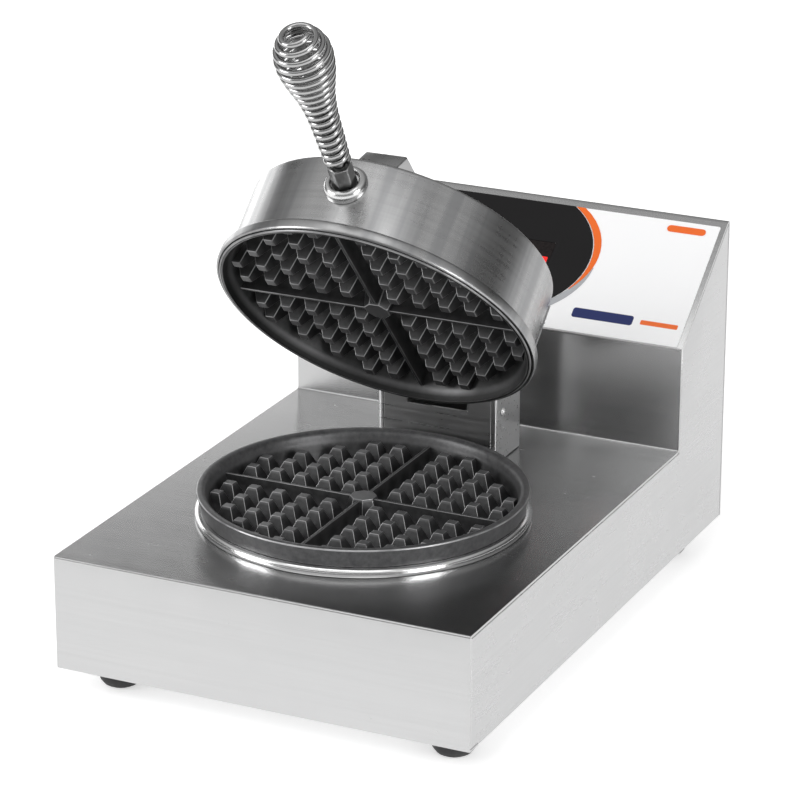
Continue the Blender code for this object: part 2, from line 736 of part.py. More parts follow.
# ---- Lid arm: a folded channel over the drum, reaching back and down to the hinge barrel ----
BARREL_R = 11.0 * MM
arm_base = DRUM_TOP_Z + SEAM
arm_outline = [
    (62.3 * MM, arm_base),
    (77.6 * MM, ARM_TOP_Z),
    (224.0 * MM, ARM_TOP_Z),
    (263.5 * MM, 143.0 * MM),
]
arm_outline += arc((HINGE_Y, HINGE_Z), BARREL_R, 35, -165, 8)
arm_outline.append((243.5 * MM, arm_base))
arm = part("lid_arm", side_prism_mesh(arm_outline, -ARM_WIDTH / 2, ARM_WIDTH / 2), STEEL, lid_pivot)
bevel(arm, 1.2 * MM, 2, 25.0)
wall = 2.0 * MM
hollow = [
    (60.0 * MM, 130.0 * MM),
    (62.3 * MM + 2.4 * MM, arm_base),
    (79.0 * MM, ARM_TOP_Z - wall),
    (223.3 * MM, ARM_TOP_Z - wall),
    (258.0 * MM, 143.6 * MM),
    (250.0 * MM, 138.0 * MM),
    (240.6 * MM, arm_base + 1.0 * MM),
    (240.6 * MM, 130.0 * MM),
]
arm_inside = side_prism_mesh(hollow, -ARM_WIDTH / 2 + wall, ARM_WIDTH / 2 - wall)
boolean(arm, helper("cut_arm", arm_inside, lid_pivot))
pin_way = rod_mesh(PIN_BORE_R, 60 * MM, 32, "X", (0.0, HINGE_Y, HINGE_Z))
boolean(arm, helper("cut_arm_bore", pin_way, lid_pivot))

# ---- Hinge tower ----
tower_low = DECK_Z + SEAM
tower = part(
    "hinge_tower",
    span_mesh((-TOWER_HALF, TOWER_FRONT, tower_low), (TOWER_HALF, TOWER_REAR, TOWER_TOP)),
    STEEL,
)
bevel(tower, 1.2 * MM, 3)
inside = span_mesh(
    (-TOWER_HALF + TOWER_SHEET, TOWER_FRONT + TOWER_SHEET, tower_low - 5 * MM),
    (TOWER_HALF - TOWER_SHEET, TOWER_REAR - TOWER_SHEET, TOWER_TOP - TOWER_SHEET),
)
boolean(tower, helper("cut_tower_inside", inside))
front_way = span_mesh(
    (-TOWER_HALF + 3.2 * MM, TOWER_FRONT - 5 * MM, tower_low - 4 * MM),
    (TOWER_HALF - 3.2 * MM, TOWER_FRONT + 3.5 * MM, TOWER_TOP - 3.2 * MM),
)
boolean(tower, helper("cut_tower_front", front_way))
slot_low = (-SLOT_HALF, TOWER_FRONT - 6 * MM, SLOT_Z)
slot_high = (SLOT_HALF, TOWER_REAR + 6 * MM, TOWER_TOP + 6 * MM)
slot_way = span_mesh(slot_low, slot_high)
slot_cut = helper("cut_tower_slot", slot_way)
boolean(tower, slot_cut)
cheek_way = rod_mesh(PIN_BORE_R, 100 * MM, 32, "X", (0.0, HINGE_Y, HINGE_Z))
boolean(tower, helper("cut_cheeks", cheek_way))
SCREW_Y = 252.7 * MM
SCREW_Z = 104.5 * MM
screw_way = rod_mesh(1.9 * MM, 100 * MM, 16, "X", (0.0, SCREW_Y, SCREW_Z))
boolean(tower, helper("cut_tower_screws", screw_way))
for name, side in (("tower_screw_left", -1), ("tower_screw_right", 1)):
    profile = [
        (0.0, 2.2 * MM),
        (1.8 * MM, 1.9 * MM),
        (2.9 * MM, 0.2 * MM),
        (1.6 * MM, 0.2 * MM),
        (1.6 * MM, -5.0 * MM),
        (0.0, -5.0 * MM),
    ]
    place = (side * TOWER_HALF, SCREW_Y, SCREW_Z)
    turned(name, profile, POLISHED, None, place, (0.0, side * math.pi / 2, 0.0), 16)

plate_half = TOWER_HALF - 3.2 * MM - SEAM
front_plate = part(
    "tower_front_plate",
    span_mesh(
        (-plate_half, TOWER_FRONT, tower_low),
        (plate_half, TOWER_FRONT + TOWER_SHEET, TOWER_TOP - 3.2 * MM - SEAM),
    ),
    STEEL,
)
boolean(front_plate, slot_cut)

hinge_pin = part(
    "hinge_pin",
    rod_mesh(PIN_R, 2 * TOWER_HALF - 0.8 * MM, 32, "X", (0.0, HINGE_Y, HINGE_Z)),
    POLISHED,
)
bevel(hinge_pin, 0.6 * MM, 1)
smooth(hinge_pin)
for name, side in (("spacer_left", -1), ("spacer_right", 1)):
    near = ARM_WIDTH / 2 + SEAM
    far = TOWER_HALF - TOWER_SHEET - SEAM
    spacer = [
        (7.0 * MM, far - near),
        (7.0 * MM, 0.0),
        (PIN_BORE_R, 0.0),
        (PIN_BORE_R, far - near),
    ]
    place = (side * near, HINGE_Y, HINGE_Z)
    turned(name, spacer, ZINC, None, place, (0.0, side * math.pi / 2, 0.0), 20, True)

# ---- Handle: ferrule, hex stand-off, rod and wire coil on one tilted axis ----
DRUM_FRONT_Y = GRID_Y - DRUM_R
handle_turn = (math.pi / 2 - HANDLE_TILT, 0.0, 0.0)
handle_root = (0.0, DRUM_FRONT_Y, HANDLE_Z)
ferrule_profile = [
    (8.4 * MM, 2.6 * MM),
    (9.2 * MM, 4.0 * MM),
    (10.4 * MM, 4.2 * MM),
    (11.9 * MM, 3.2 * MM),
    (13.0 * MM, 1.6 * MM),
    (13.2 * MM, 0.2 * MM),
    (13.2 * MM, -4.0 * MM),
    (8.4 * MM, -4.0 * MM),
]
ferrule = turned("handle_ferrule", ferrule_profile, POLISHED, lid_pivot, handle_root, handle_turn, 28, True)
drum_solid = rod_mesh(DRUM_R + 0.35 * MM, 120 * MM, 64)
drum_room = helper("cut_ferrule", drum_solid, lid_pivot, (0.0, GRID_Y, 120 * MM))
boolean(ferrule, drum_room)
rod_way = helper("cut_drum_front", rod_mesh(3.8 * MM, 24 * MM, 24), lid_pivot, handle_root, handle_turn)
boolean(lid_drum, rod_way)

hexagon = rod_mesh(7.6 * MM, 20.0 * MM, 6, "Z", (0.0, 0.0, 7.0 * MM))
handle_hex = part("handle_hex", hexagon, STEEL, lid_pivot, handle_root, handle_turn)
bevel(handle_hex, 0.6 * MM, 1)
hex_way = helper("cut_hex", rod_mesh(3.7 * MM, 60 * MM, 24), lid_pivot, handle_root, handle_turn)
boolean(handle_hex, hex_way)
boolean(handle_hex, drum_room)
rod_profile = [
    (0.0, 116.0 * MM),
    (2.2 * MM, 115.6 * MM),
    (3.2 * MM, 114.2 * MM),
    (3.2 * MM, -5.0 * MM),
    (7.5 * MM, -5.0 * MM),
    (7.5 * MM, -9.0 * MM),
    (0.0, -9.0 * MM),
]
turned("handle_rod", rod_profile, ZINC, lid_pivot, handle_root, handle_turn, 18)

COIL_SHAPE = (
    (0.00, 6.1),
    (0.16, 6.7),
    (0.36, 7.5),
    (0.51, 9.3),
    (0.65, 12.8),
    (0.74, 14.8),
    (0.81, 15.5),
    (0.86, 15.2),
    (0.91, 13.6),
    (0.96, 10.8),
    (1.00, 7.2),
)


def coil_radius(share):
    for (a, low), (b, high) in zip(COIL_SHAPE, COIL_SHAPE[1:]):
        if share <= b:
            blend = (share - a) / (b - a)
            return (low + (high - low) * blend) * MM
    return COIL_SHAPE[-1][1] * MM


meridian = [(0.0, 0.0)]
samples = 400
for i in range(1, samples + 1):
    share = i / samples
    step = math.hypot(
        (COIL_END - COIL_START) / samples,
        coil_radius(share) - coil_radius((i - 1) / samples),
    )
    meridian.append((share, meridian[-1][1] + step))
coil = bpy.data.curves.new("handle_coil", "CURVE")
coil.dimensions = "3D"
coil.bevel_depth = COIL_WIRE_R
coil.bevel_resolution = 2
coil.use_fill_caps = True
count = COIL_TURNS * COIL_POINTS
line = coil.splines.new("POLY")
line.points.add(count)
here = 0
for i in range(count + 1):
    wanted = meridian[-1][1] * i / count
    while here < samples and meridian[here][1] < wanted:
        here += 1
    share = meridian[here][0]
    radius = coil_radius(share)
    angle = math.tau * i / COIL_POINTS
    along = COIL_START + (COIL_END - COIL_START) * share
    line.points[i].co = (radius * math.cos(angle), radius * math.sin(angle), along, 1.0)
solid_curve("handle_coil", coil, CHROME, lid_pivot, handle_root, handle_turn)

# ---- Control panel on the slanted face ----
slope_turn = (SLOPE, 0.0, 0.0)
panel_gap = 0.1 * MM


def oval_half(s, centre_s, a, b):
    reach = 1.0 - ((s - centre_s) / b) ** 2
    return a * math.sqrt(reach) if reach > 0 else 0.0


def panel_piece(name, outline, n, depth, finish, holes=()):
    return part(name, prism_mesh(outline, depth, holes), finish, None, slope_place(0.0, 0.0, n), slope_turn)


key_holes = [ring_points(x, KEY_S, KEY_R + 0.4 * MM, 24) for x in KEY_X]
window_hole = rounded_box_points(WINDOW_X, WINDOW_S, WINDOW_W + 0.8 * MM, WINDOW_H + 0.8 * MM, 0.2 * MM, 1)
label_middle = (LABEL_BOTTOM + LABEL_TOP) / 2
label_outline = rounded_box_points(0.0, label_middle, 2 * LABEL_HALF, LABEL_TOP - LABEL_BOTTOM, 1.0 * MM, 2)
panel_piece("control_label", label_outline, panel_gap, LABEL_SKIN, WHITE_FILM, [*key_holes, window_hole])

oval_n = panel_gap + LABEL_SKIN + panel_gap
oval_steps = 22
oval_outline = []
for i in range(oval_steps + 1):
    turn = -math.pi / 2 + (math.pi / 2 + math.asin((LABEL_TOP - OVAL_S) / OVAL_B)) * i / oval_steps
    oval_outline.append((OVAL_X + OVAL_A * math.cos(turn), OVAL_S + OVAL_B * math.sin(turn)))
oval_outline += [(2 * OVAL_X - x, s) for x, s in reversed(oval_outline[1:])]
panel_piece("oval_panel", oval_outline, oval_n, LABEL_SKIN, BLACK_FILM, [*key_holes, window_hole])


def band(name, finish, inside, outside, low, high, count):
    """A crescent between two curves that give X for a distance up the slope."""
    levels = [low + (high - low) * i / count for i in range(count + 1)]
    outline = [(outside(s), s) for s in levels] + [(inside(s), s) for s in reversed(levels)]
    panel_piece(name, outline, oval_n, 0.2 * MM, finish)


def black_edge(s):
    return OVAL_X + oval_half(s, OVAL_S, OVAL_A, OVAL_B) + 0.7 * MM


def orange_edge(s):
    return -8.0 * MM + oval_half(s, 58.0 * MM, 66.5 * MM, 48.0 * MM)


def grey_edge(s):
    return -8.0 * MM + oval_half(s, 52.0 * MM, 66.0 * MM, 50.0 * MM)


def grey_inside(s):
    return max(black_edge(s), orange_edge(s) + 0.2 * MM)


band("accent_band", ORANGE_FILM, black_edge, orange_edge, 31.0 * MM, LABEL_TOP, 14)
band("shade_band", GREY_FILM, grey_inside, grey_edge, 7.5 * MM, 49.0 * MM, 12)
pill = rounded_box_points(108.8 * MM, 86.7 * MM, 26 * MM, 5 * MM, 2.45 * MM, 4)
panel_piece("notice_blank", pill, oval_n, 0.2 * MM, ORANGE_FILM)

window = panel_piece(
    "display_window",
    rounded_box_points(WINDOW_X, WINDOW_S, WINDOW_W, WINDOW_H, 1.0 * MM, 2),
    -2.0 * MM,
    3.0 * MM,
    RED_WINDOW,
)
bevel(window, 0.3 * MM, 1)

key_profile = [
    (0.0, 2.0 * MM),
    (3.2 * MM, 1.9 * MM),
    (4.2 * MM, 1.3 * MM),
    (KEY_R, 0.5 * MM),
    (KEY_R, -2.0 * MM),
    (6.0 * MM, -2.0 * MM),
    (6.0 * MM, -3.2 * MM),
    (0.0, -3.2 * MM),
]
for name, x in zip(("key_left", "key_middle", "key_right"), KEY_X):
    turned(name, key_profile, KEY_PLASTIC, None, slope_place(x, KEY_S, 0.0), slope_turn, 16)

# Control board behind the slanted face, with three switch bodies and a display block
board_outline = rounded_box_points(-12 * MM, 40 * MM, 110 * MM, 56 * MM, 2 * MM, 2)
board = panel_piece("control_board", board_outline, -13 * MM, 1.6 * MM, BOARD_GREEN)
blocks = [box_mesh((7 * MM, 7 * MM, 4 * MM), (x, KEY_S, 3.2 * MM)) for x in KEY_X]
blocks.append(box_mesh((70 * MM, 18 * MM, 8 * MM), (WINDOW_X, WINDOW_S, 5 * MM)))
board_top = helper("form_board_blocks", joined_mesh(blocks), None, slope_place(0.0, 0.0, -13 * MM), slope_turn)
boolean(board, board_top, "UNION")

relay_body = box_mesh((32 * MM, 28 * MM, 24 * MM), (-60 * MM, 352 * MM, 17.0 * MM))
relay = part("power_relay", relay_body, BLACK_PLASTIC)
bevel(relay, 1.2 * MM, 2)
terminal_body = box_mesh((48 * MM, 20 * MM, 16 * MM), (30 * MM, 350 * MM, 13.0 * MM))
terminal = part("terminal_block", terminal_body, BLACK_PLASTIC)
bevel(terminal, 0.8 * MM, 1)
terminal_holes = [
    rod_mesh(2.0 * MM, 10 * MM, 10, "Z", (x * MM, 350 * MM, 22 * MM)) for x in (15, 25, 35, 45)
]
boolean(terminal, helper("cut_terminals", joined_mesh(terminal_holes)))
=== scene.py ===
"""Looks for the round waffle baker: refined copies of the CAD nodes, procedural materials, studio."""

import json
import math

import bmesh
import bpy
from mathutils import Matrix, Vector

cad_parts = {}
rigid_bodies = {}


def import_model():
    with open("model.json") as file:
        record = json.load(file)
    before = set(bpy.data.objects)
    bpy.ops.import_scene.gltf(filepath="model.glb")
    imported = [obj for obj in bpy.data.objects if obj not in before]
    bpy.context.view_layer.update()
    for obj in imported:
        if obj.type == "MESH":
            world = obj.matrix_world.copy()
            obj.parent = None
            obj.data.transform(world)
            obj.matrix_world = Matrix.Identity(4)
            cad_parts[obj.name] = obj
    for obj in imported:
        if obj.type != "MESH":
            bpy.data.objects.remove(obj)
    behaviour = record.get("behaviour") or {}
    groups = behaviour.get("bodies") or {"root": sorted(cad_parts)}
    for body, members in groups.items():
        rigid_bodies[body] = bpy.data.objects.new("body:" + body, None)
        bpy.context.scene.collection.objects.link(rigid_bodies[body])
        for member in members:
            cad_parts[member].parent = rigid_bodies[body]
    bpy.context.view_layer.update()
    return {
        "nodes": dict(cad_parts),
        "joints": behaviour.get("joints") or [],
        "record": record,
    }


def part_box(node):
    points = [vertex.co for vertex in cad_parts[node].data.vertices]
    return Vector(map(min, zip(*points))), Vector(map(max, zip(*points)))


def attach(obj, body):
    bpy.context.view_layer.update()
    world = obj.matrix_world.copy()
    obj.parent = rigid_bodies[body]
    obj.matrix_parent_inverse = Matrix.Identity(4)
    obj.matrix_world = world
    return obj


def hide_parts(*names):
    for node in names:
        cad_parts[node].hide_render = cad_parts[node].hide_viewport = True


MM = 0.001

for item in list(bpy.data.objects):
    bpy.data.objects.remove(item, do_unlink=True)

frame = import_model()
record = frame["record"]
hinge = next(j for j in frame["joints"] if j["name"] == "lid_hinge")
PIVOT = Vector(hinge["pos_m"])
LID_OPEN = math.radians(48.0)
# Carries a point of the lid, laid out closed, to where it is at rest
OPEN = Matrix.Translation(PIVOT) @ Matrix.Rotation(-LID_OPEN, 4, "X") @ Matrix.Translation(-PIVOT)

ring_low, ring_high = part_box("lower_ring")
GRID_Y = (ring_low.y + ring_high.y) / 2
_, grid_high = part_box("lower_grid")
RIM_Z = grid_high.z
LID_RIM_Z = RIM_Z + 1.0 * MM

# Cells: heights are below the rim of the plate they belong to
PITCH = 16.7 * MM
FIRST = 15.4 * MM
PINS_PER_ROW = 5
FLOOR = 17.0 * MM
PLATE_ROOT = -FLOOR - 0.4 * MM
PIN_TIP = -6.0 * MM
PIN_TOP = 5.8 * MM
PIN_FLARE = 9.4 / 11.0
PIN_REACH = 89.5 * MM
RIB_BASE = 4.6 * MM
RIB_TOP = 2.0 * MM
RIB_TIPS = (-7.0 * MM, -7.05 * MM)
HUB_BASE_R = 11.4 * MM
HUB_TOP_R = 8.1 * MM

# Surfaces: repeats per metre of each texture, and where the castings' painted shade and pale tops change
GRAIN_ALONG = 5.0
GRAIN_ACROSS = 460.0
COARSE_GRAIN = 0.22
BRUSH_STRETCH = 0.55
HOOP_ALONG = 0.9
HOOP_ACROSS = 420.0
# Painted reflection bands on the drum's side: how many round and up, and where they fade out below its top
REFLECTION_BANDS_ROUND = 7.0
REFLECTION_BANDS_UP = 3.0
REFLECTION_BAND_FADE = 600.0
REFLECTION_BAND_TOP_Z = LID_RIM_Z + 0.0535
RISE_RATE = 60.0
# Radius where the castings' painted shade and wear change at the wall, and how dark the painted shade on the
# lid's wall and rim is
WALL_FADE = 700.0
WALL_START = 65.6
LID_WALL_PAINTED_SHADE = 0.14
SHARP_ANGLE = math.radians(38.0)
JOIN_DISTANCE = 0.01 * MM
FLAT_ANGLE = math.radians(0.6)

# Label and display: middle across and up the slope, half size, corner radius
NAME_BAR = ((0.0755, 0.0150), (0.0205, 0.0036), 0.0018)
SMALL_BAR = ((0.1135, 0.0150), (0.0125, 0.0017), 0.0008)
NAVY = (0.012, 0.022, 0.12)
ORANGE = (0.86, 0.16, 0.03)
MASK_EDGE = 0.00015
LIT_BARS = 6
LIT_FIRST_X = 0.0222
LIT_STEP_X = 0.0118
LIT_S = 0.0490
LIT_HALF = (0.0034, 0.0030)
LIT_CORNER = 0.0008
DISPLAY_GLOW = 0.5
FLOOR_GLOW = 0.54


# ---------------------------------------------------------------- shading
class Nodes:
    """A material's node tree with short calls."""

    def __init__(self, name):
        self.material = bpy.data.materials.new(name)
        self.material.use_nodes = True
        self.tree = self.material.node_tree
        self.shader = self.tree.nodes["Principled BSDF"]

    def add(self, kind, **values):
        made = self.tree.nodes.new(kind)
        for key, value in values.items():
            setattr(made, key, value)
        return made

    def link(self, out, to):
        self.tree.links.new(out, to)

    def put(self, socket, value):
        if isinstance(value, bpy.types.NodeSocket):
            self.link(value, socket)
        else:
            socket.default_value = value

    def math(self, operation, *values, clamp=False):
        made = self.add("ShaderNodeMath", operation=operation, use_clamp=clamp)
        for socket, value in zip(made.inputs, values):
            self.put(socket, value)
        return made.outputs[0]

    def level(self, factor, low, high):
        """The factor, 0 to 1, spread from low to high."""
        return self.math("MULTIPLY_ADD", factor, high - low, low, clamp=True)

    def place(self, lid=False, scale=(1.0, 1.0, 1.0)):
        """Object coordinates; the lid's are turned back to where it is closed."""
        where = self.add("ShaderNodeTexCoord").outputs["Object"]
        if lid:
            back = self.add("ShaderNodeMapping")
            offset = PIVOT - Matrix.Rotation(LID_OPEN, 3, "X") @ PIVOT
            back.inputs["Location"].default_value = offset
            back.inputs["Rotation"].default_value = (LID_OPEN, 0.0, 0.0)
            self.link(where, back.inputs["Vector"])
            where = back.outputs[0]
        if tuple(scale) != (1.0, 1.0, 1.0):
            grown = self.add("ShaderNodeMapping")
            grown.inputs["Scale"].default_value = scale
            self.link(where, grown.inputs["Vector"])
            where = grown.outputs[0]
        return where

    def noise(self, where, scale, detail=3.0, rough=0.5, distortion=0.0):
        made = self.add("ShaderNodeTexNoise")
        self.link(where, made.inputs["Vector"])
        made.inputs["Scale"].default_value = scale
        made.inputs["Detail"].default_value = detail
        made.inputs["Roughness"].default_value = rough
        made.inputs["Distortion"].default_value = distortion
        return made.outputs["Fac"]

    def ramp(self, factor, *stops):
        made = self.add("ShaderNodeValToRGB")
        while len(made.color_ramp.elements) < len(stops):
            made.color_ramp.elements.new(0.5)
        for element, (at, colour) in zip(made.color_ramp.elements, stops):
            element.position = at
            element.color = (*colour, 1.0) if hasattr(colour, "__len__") else (colour, colour, colour, 1.0)
        self.link(factor, made.inputs[0])
        return made.outputs[0]

    def mix(self, factor, a, b, blend="MIX"):
        made = self.add("ShaderNodeMix", data_type="RGBA", blend_type=blend)
        self.put(made.inputs[0], factor)
        for socket, value in ((made.inputs[6], a), (made.inputs[7], b)):
            if hasattr(value, "__len__") and not isinstance(value, bpy.types.NodeSocket):
                value = (*value, 1.0)
            self.put(socket, value)
        return made.outputs[2]

    def bump(self, *layers):
        """Layers of (height, strength, distance), the first one lowest."""
        normal = None
        for height, strength, distance in layers:
            made = self.add("ShaderNodeBump")
            made.inputs["Strength"].default_value = strength
            made.inputs["Distance"].default_value = distance
            self.link(height, made.inputs["Height"])
            if normal is not None:
                self.link(normal, made.inputs["Normal"])
            normal = made.outputs[0]
        self.link(normal, self.shader.inputs["Normal"])

    def brushed(self, amount, grain=(1.0, 0.0, 0.0)):
        """Highlights drawn out across the grain."""
        turn = self.add("ShaderNodeVectorMath", operation="CROSS_PRODUCT")
        self.link(self.add("ShaderNodeNewGeometry").outputs["Normal"], turn.inputs[0])
        self.put(turn.inputs[1], grain)
        self.link(turn.outputs[0], self.shader.inputs["Tangent"])
        self.shader.inputs["Anisotropic"].default_value = amount

    def set(self, **values):
        for key, value in values.items():
            self.put(self.shader.inputs[key.replace("_", " ")], value)


def steel(name, tone=0.6, rough=0.3, grain="x", lid=False, spread=0.1):
    """Brushed stainless sheet, with the grain along one axis."""
    n = Nodes(name)
    along, across = GRAIN_ALONG, GRAIN_ACROSS
    scale = {"x": (along, across, across), "y": (across, along, across), "z": (across, across, along)}[grain]
    fine = n.noise(n.place(lid, scale), 1.0, 2.0, 0.5)
    coarse = n.noise(n.place(lid, tuple(v * COARSE_GRAIN for v in scale)), 1.0, 2.0, 0.5)
    cloud = n.noise(n.place(lid), 9.0, 3.0, 0.55)
    smudge = n.noise(n.place(lid), 34.0, 4.0, 0.6, 0.4)
    lines = n.math("ADD", n.math("MULTIPLY", fine, 0.85), n.math("MULTIPLY", coarse, 0.15))
    colour = n.ramp(
        lines,
        (0.30, tone * 0.965),
        (0.50, tone),
        (0.70, min(1.0, tone * 1.03)),
    )
    colour = n.mix(n.math("MULTIPLY", cloud, 0.35), colour, (tone * 0.94, tone * 0.945, tone * 0.96))
    n.set(Base_Color=colour, Metallic=1.0)
    mark = n.math("MULTIPLY", n.math("SUBTRACT", smudge, 0.5), 0.10)
    n.set(Roughness=n.math("ADD", n.level(lines, rough - spread, rough + spread), mark, clamp=True))
    n.bump((fine, 0.08, 0.000008))
    # A little off the axis, so that it is never square to a face
    axis = {"x": (1.0, 0.013, 0.02), "y": (0.013, 1.0, 0.02), "z": (0.013, 0.02, 1.0)}[grain]
    if not lid or grain == "x":
        n.brushed(BRUSH_STRETCH, axis)
    return n.material


def drum_steel(name, tone=0.6, rough=0.3):
    """Brushed sheet rolled to a drum: the grain runs round the lid's own axis, and darker bands on its side
    are a painted reflection.
    """
    n = Nodes(name)
    split = n.add("ShaderNodeSeparateXYZ")
    n.link(n.place(True), split.inputs[0])
    y = n.math("SUBTRACT", split.outputs[1], GRID_Y)
    angle = n.math("ARCTAN2", y, split.outputs[0])
    across = n.math("MULTIPLY", split.outputs[0], split.outputs[0])
    radius = n.math("SQRT", n.math("MULTIPLY_ADD", y, y, across))
    joined = n.add("ShaderNodeCombineXYZ")
    n.link(n.math("MULTIPLY", angle, HOOP_ALONG), joined.inputs[0])
    n.link(n.math("MULTIPLY", radius, HOOP_ACROSS), joined.inputs[1])
    n.link(n.math("MULTIPLY", split.outputs[2], HOOP_ACROSS), joined.inputs[2])
    fine = n.noise(joined.outputs[0], 1.0, 2.0, 0.5)
    # Painted reflection: darker bands round the drum, from noise over its angle and height
    reflection_bands = n.add("ShaderNodeCombineXYZ")
    n.link(n.math("MULTIPLY", angle, REFLECTION_BANDS_ROUND), reflection_bands.inputs[0])
    n.link(n.math("MULTIPLY", split.outputs[2], REFLECTION_BANDS_UP), reflection_bands.inputs[1])
    reflection_band = n.noise(reflection_bands.outputs[0], 1.0, 3.0, 0.55)
    cloud = n.noise(n.place(True), 26.0, 4.0, 0.6, 0.6)
    colour = n.ramp(fine, (0.3, tone * 0.93), (0.5, tone), (0.7, min(1.0, tone * 1.06)))
    painted_reflection = n.ramp(reflection_band, (0.36, 0.0), (0.5, 0.35), (0.62, 1.0))
    # The painted reflection bands stay on the drum's side and leave its flat top even
    side = n.math("MULTIPLY_ADD", split.outputs[2], -REFLECTION_BAND_FADE, REFLECTION_BAND_FADE * REFLECTION_BAND_TOP_Z, clamp=True)
    painted_reflection = n.math("MULTIPLY", painted_reflection, n.math("MULTIPLY", side, 0.7))
    colour = n.mix(painted_reflection, colour, (tone * 0.62, tone * 0.625, tone * 0.64))
    n.set(Base_Color=colour, Metallic=1.0)
    extra = n.math("MULTIPLY", n.math("SUBTRACT", reflection_band, 0.5), 0.22)
    extra = n.math("ADD", extra, n.math("MULTIPLY", n.math("SUBTRACT", cloud, 0.5), 0.12))
    n.set(Roughness=n.math("ADD", n.level(fine, rough - 0.04, rough + 0.04), extra, clamp=True))
    n.bump((fine, 0.08, 0.000012))
    return n.material


def polished(name, tone=0.78, rough=0.1, lid=False):
    """Bright metal with fine scratches and a faint haze."""
    n = Nodes(name)
    scratch = n.noise(n.place(lid, (60.0, 900.0, 240.0)), 1.0, 4.0, 0.6)
    haze = n.noise(n.place(lid), 60.0, 3.0, 0.55)
    n.set(Base_Color=n.ramp(haze, (0.3, tone * 0.93), (0.7, tone)), Metallic=1.0)
    n.set(Roughness=n.level(scratch, rough - 0.04, rough + 0.10))
    n.bump((scratch, 0.05, 0.00004))
    return n.material


def cast(name, lid=False, tone=0.05, wear_highlight_tone=0.2):
    """Seasoned non-stick casting: sandy skin, paler tops that are partly wear and partly a painted
    highlight, and painted shade on the pin sides.
    """
    n = Nodes(name)
    where = n.place(lid)
    grit = n.noise(where, 1500.0, 3.0, 0.6)
    skin = n.noise(where, 260.0, 4.0, 0.6)
    patch = n.noise(where, 40.0, 4.0, 0.6, 0.5)
    split = n.add("ShaderNodeSeparateXYZ")
    n.link(where, split.inputs[0])
    # Height from the floor of the cells, 0, to the rim, 1
    floor = LID_RIM_Z + FLOOR if lid else RIM_Z - FLOOR
    rise = n.math("MULTIPLY", n.math("SUBTRACT", split.outputs[2], floor), -RISE_RATE if lid else RISE_RATE)
    # Paler tops of the pins and rim: partly wear, partly a painted highlight
    worn_lit_tops = n.ramp(rise, (0.0, 0.0), (0.55, 0.0), (0.66, 0.75), (1.0, 1.0))
    deep = (tone * 0.7, tone * 0.7, tone * 0.72)
    light = (tone * 1.2, tone * 1.2, tone * 1.22)
    base = n.ramp(skin, (0.3, deep), (0.7, light))
    # Painted shade: inside the wall the sides of the pins are darkened more than the floor, and on the lid
    # the wall and rim outside it are darkened as well
    off = n.math("SUBTRACT", split.outputs[1], GRID_Y)
    square = n.math("MULTIPLY", split.outputs[0], split.outputs[0])
    radius = n.math("SQRT", n.math("MULTIPLY_ADD", off, off, square))
    inside = n.math("MULTIPLY_ADD", radius, -WALL_FADE, WALL_START, clamp=True)
    pin_side_shade = n.ramp(rise, (0.0, 1.0), (0.12, 0.75), (0.35, 0.4), (0.6, 0.45))
    wear_and_highlight = n.math("MULTIPLY", n.math("MULTIPLY", worn_lit_tops, inside), n.level(patch, 0.1, 1.0), clamp=True)
    outer_shade = LID_WALL_PAINTED_SHADE if lid else 1.0
    painted_shade = n.mix(inside, (outer_shade, outer_shade, outer_shade), pin_side_shade)
    base = n.mix(1.0, base, painted_shade, "MULTIPLY")
    pale = (wear_highlight_tone, wear_highlight_tone, wear_highlight_tone * 1.02)
    n.set(Base_Color=n.mix(wear_and_highlight, base, pale), Metallic=0.45)
    n.set(Roughness=n.math("SUBTRACT", n.level(skin, 0.32, 0.48), n.math("MULTIPLY", wear_and_highlight, 0.08)))
    n.bump((skin, 0.22, 0.0003), (grit, 0.18, 0.00012))
    return n.material


def edge_wear_and_highlight(name, lid=False, tone=0.34):
    """Pale metal on the casting's bevelled corners: partly rubbed-through wear, partly a painted highlight.
    """
    n = Nodes(name)
    where = n.place(lid)
    patch = n.noise(where, 55.0, 3.0, 0.5)
    grit = n.noise(where, 1300.0, 3.0, 0.6)
    dull = (tone * 0.3, tone * 0.3, tone * 0.31)
    n.set(Base_Color=n.ramp(patch, (0.25, dull), (0.55, (tone, tone, tone * 1.01))), Metallic=0.85)
    n.set(Roughness=n.level(patch, 0.4, 0.26))
    n.bump((grit, 0.14, 0.0001))
    return n.material


def rubber(name):
    n = Nodes(name)
    where = n.place()
    grain = n.noise(where, 900.0, 3.0, 0.6)
    dust = n.noise(where, 70.0, 4.0, 0.6)
    n.set(Base_Color=n.ramp(dust, (0.35, (0.008, 0.008, 0.009)), (0.75, (0.03, 0.03, 0.031))))
    n.set(Roughness=n.level(grain, 0.5, 0.8))
    n.bump((grain, 0.2, 0.0002))
    return n.material


def film_nodes(name, colour, rough=0.28, fleck=0.04, shine=0.35):
    """Printed film under a thin lacquer, with a faint leathery texture."""
    n = Nodes(name)
    where = n.place()
    grain = n.noise(where, 1400.0, 2.0, 0.5)
    tint = n.noise(where, 30.0, 3.0, 0.5)
    dark = tuple(c * (1 - fleck) for c in colour)
    n.set(Base_Color=n.mix(tint, colour, dark))
    n.set(Roughness=n.level(grain, rough, rough + 0.12))
    n.shader.inputs["Specular IOR Level"].default_value = shine
    n.bump((grain, 0.05, 0.00004))
    return n


def film(*values):
    return film_nodes(*values).material


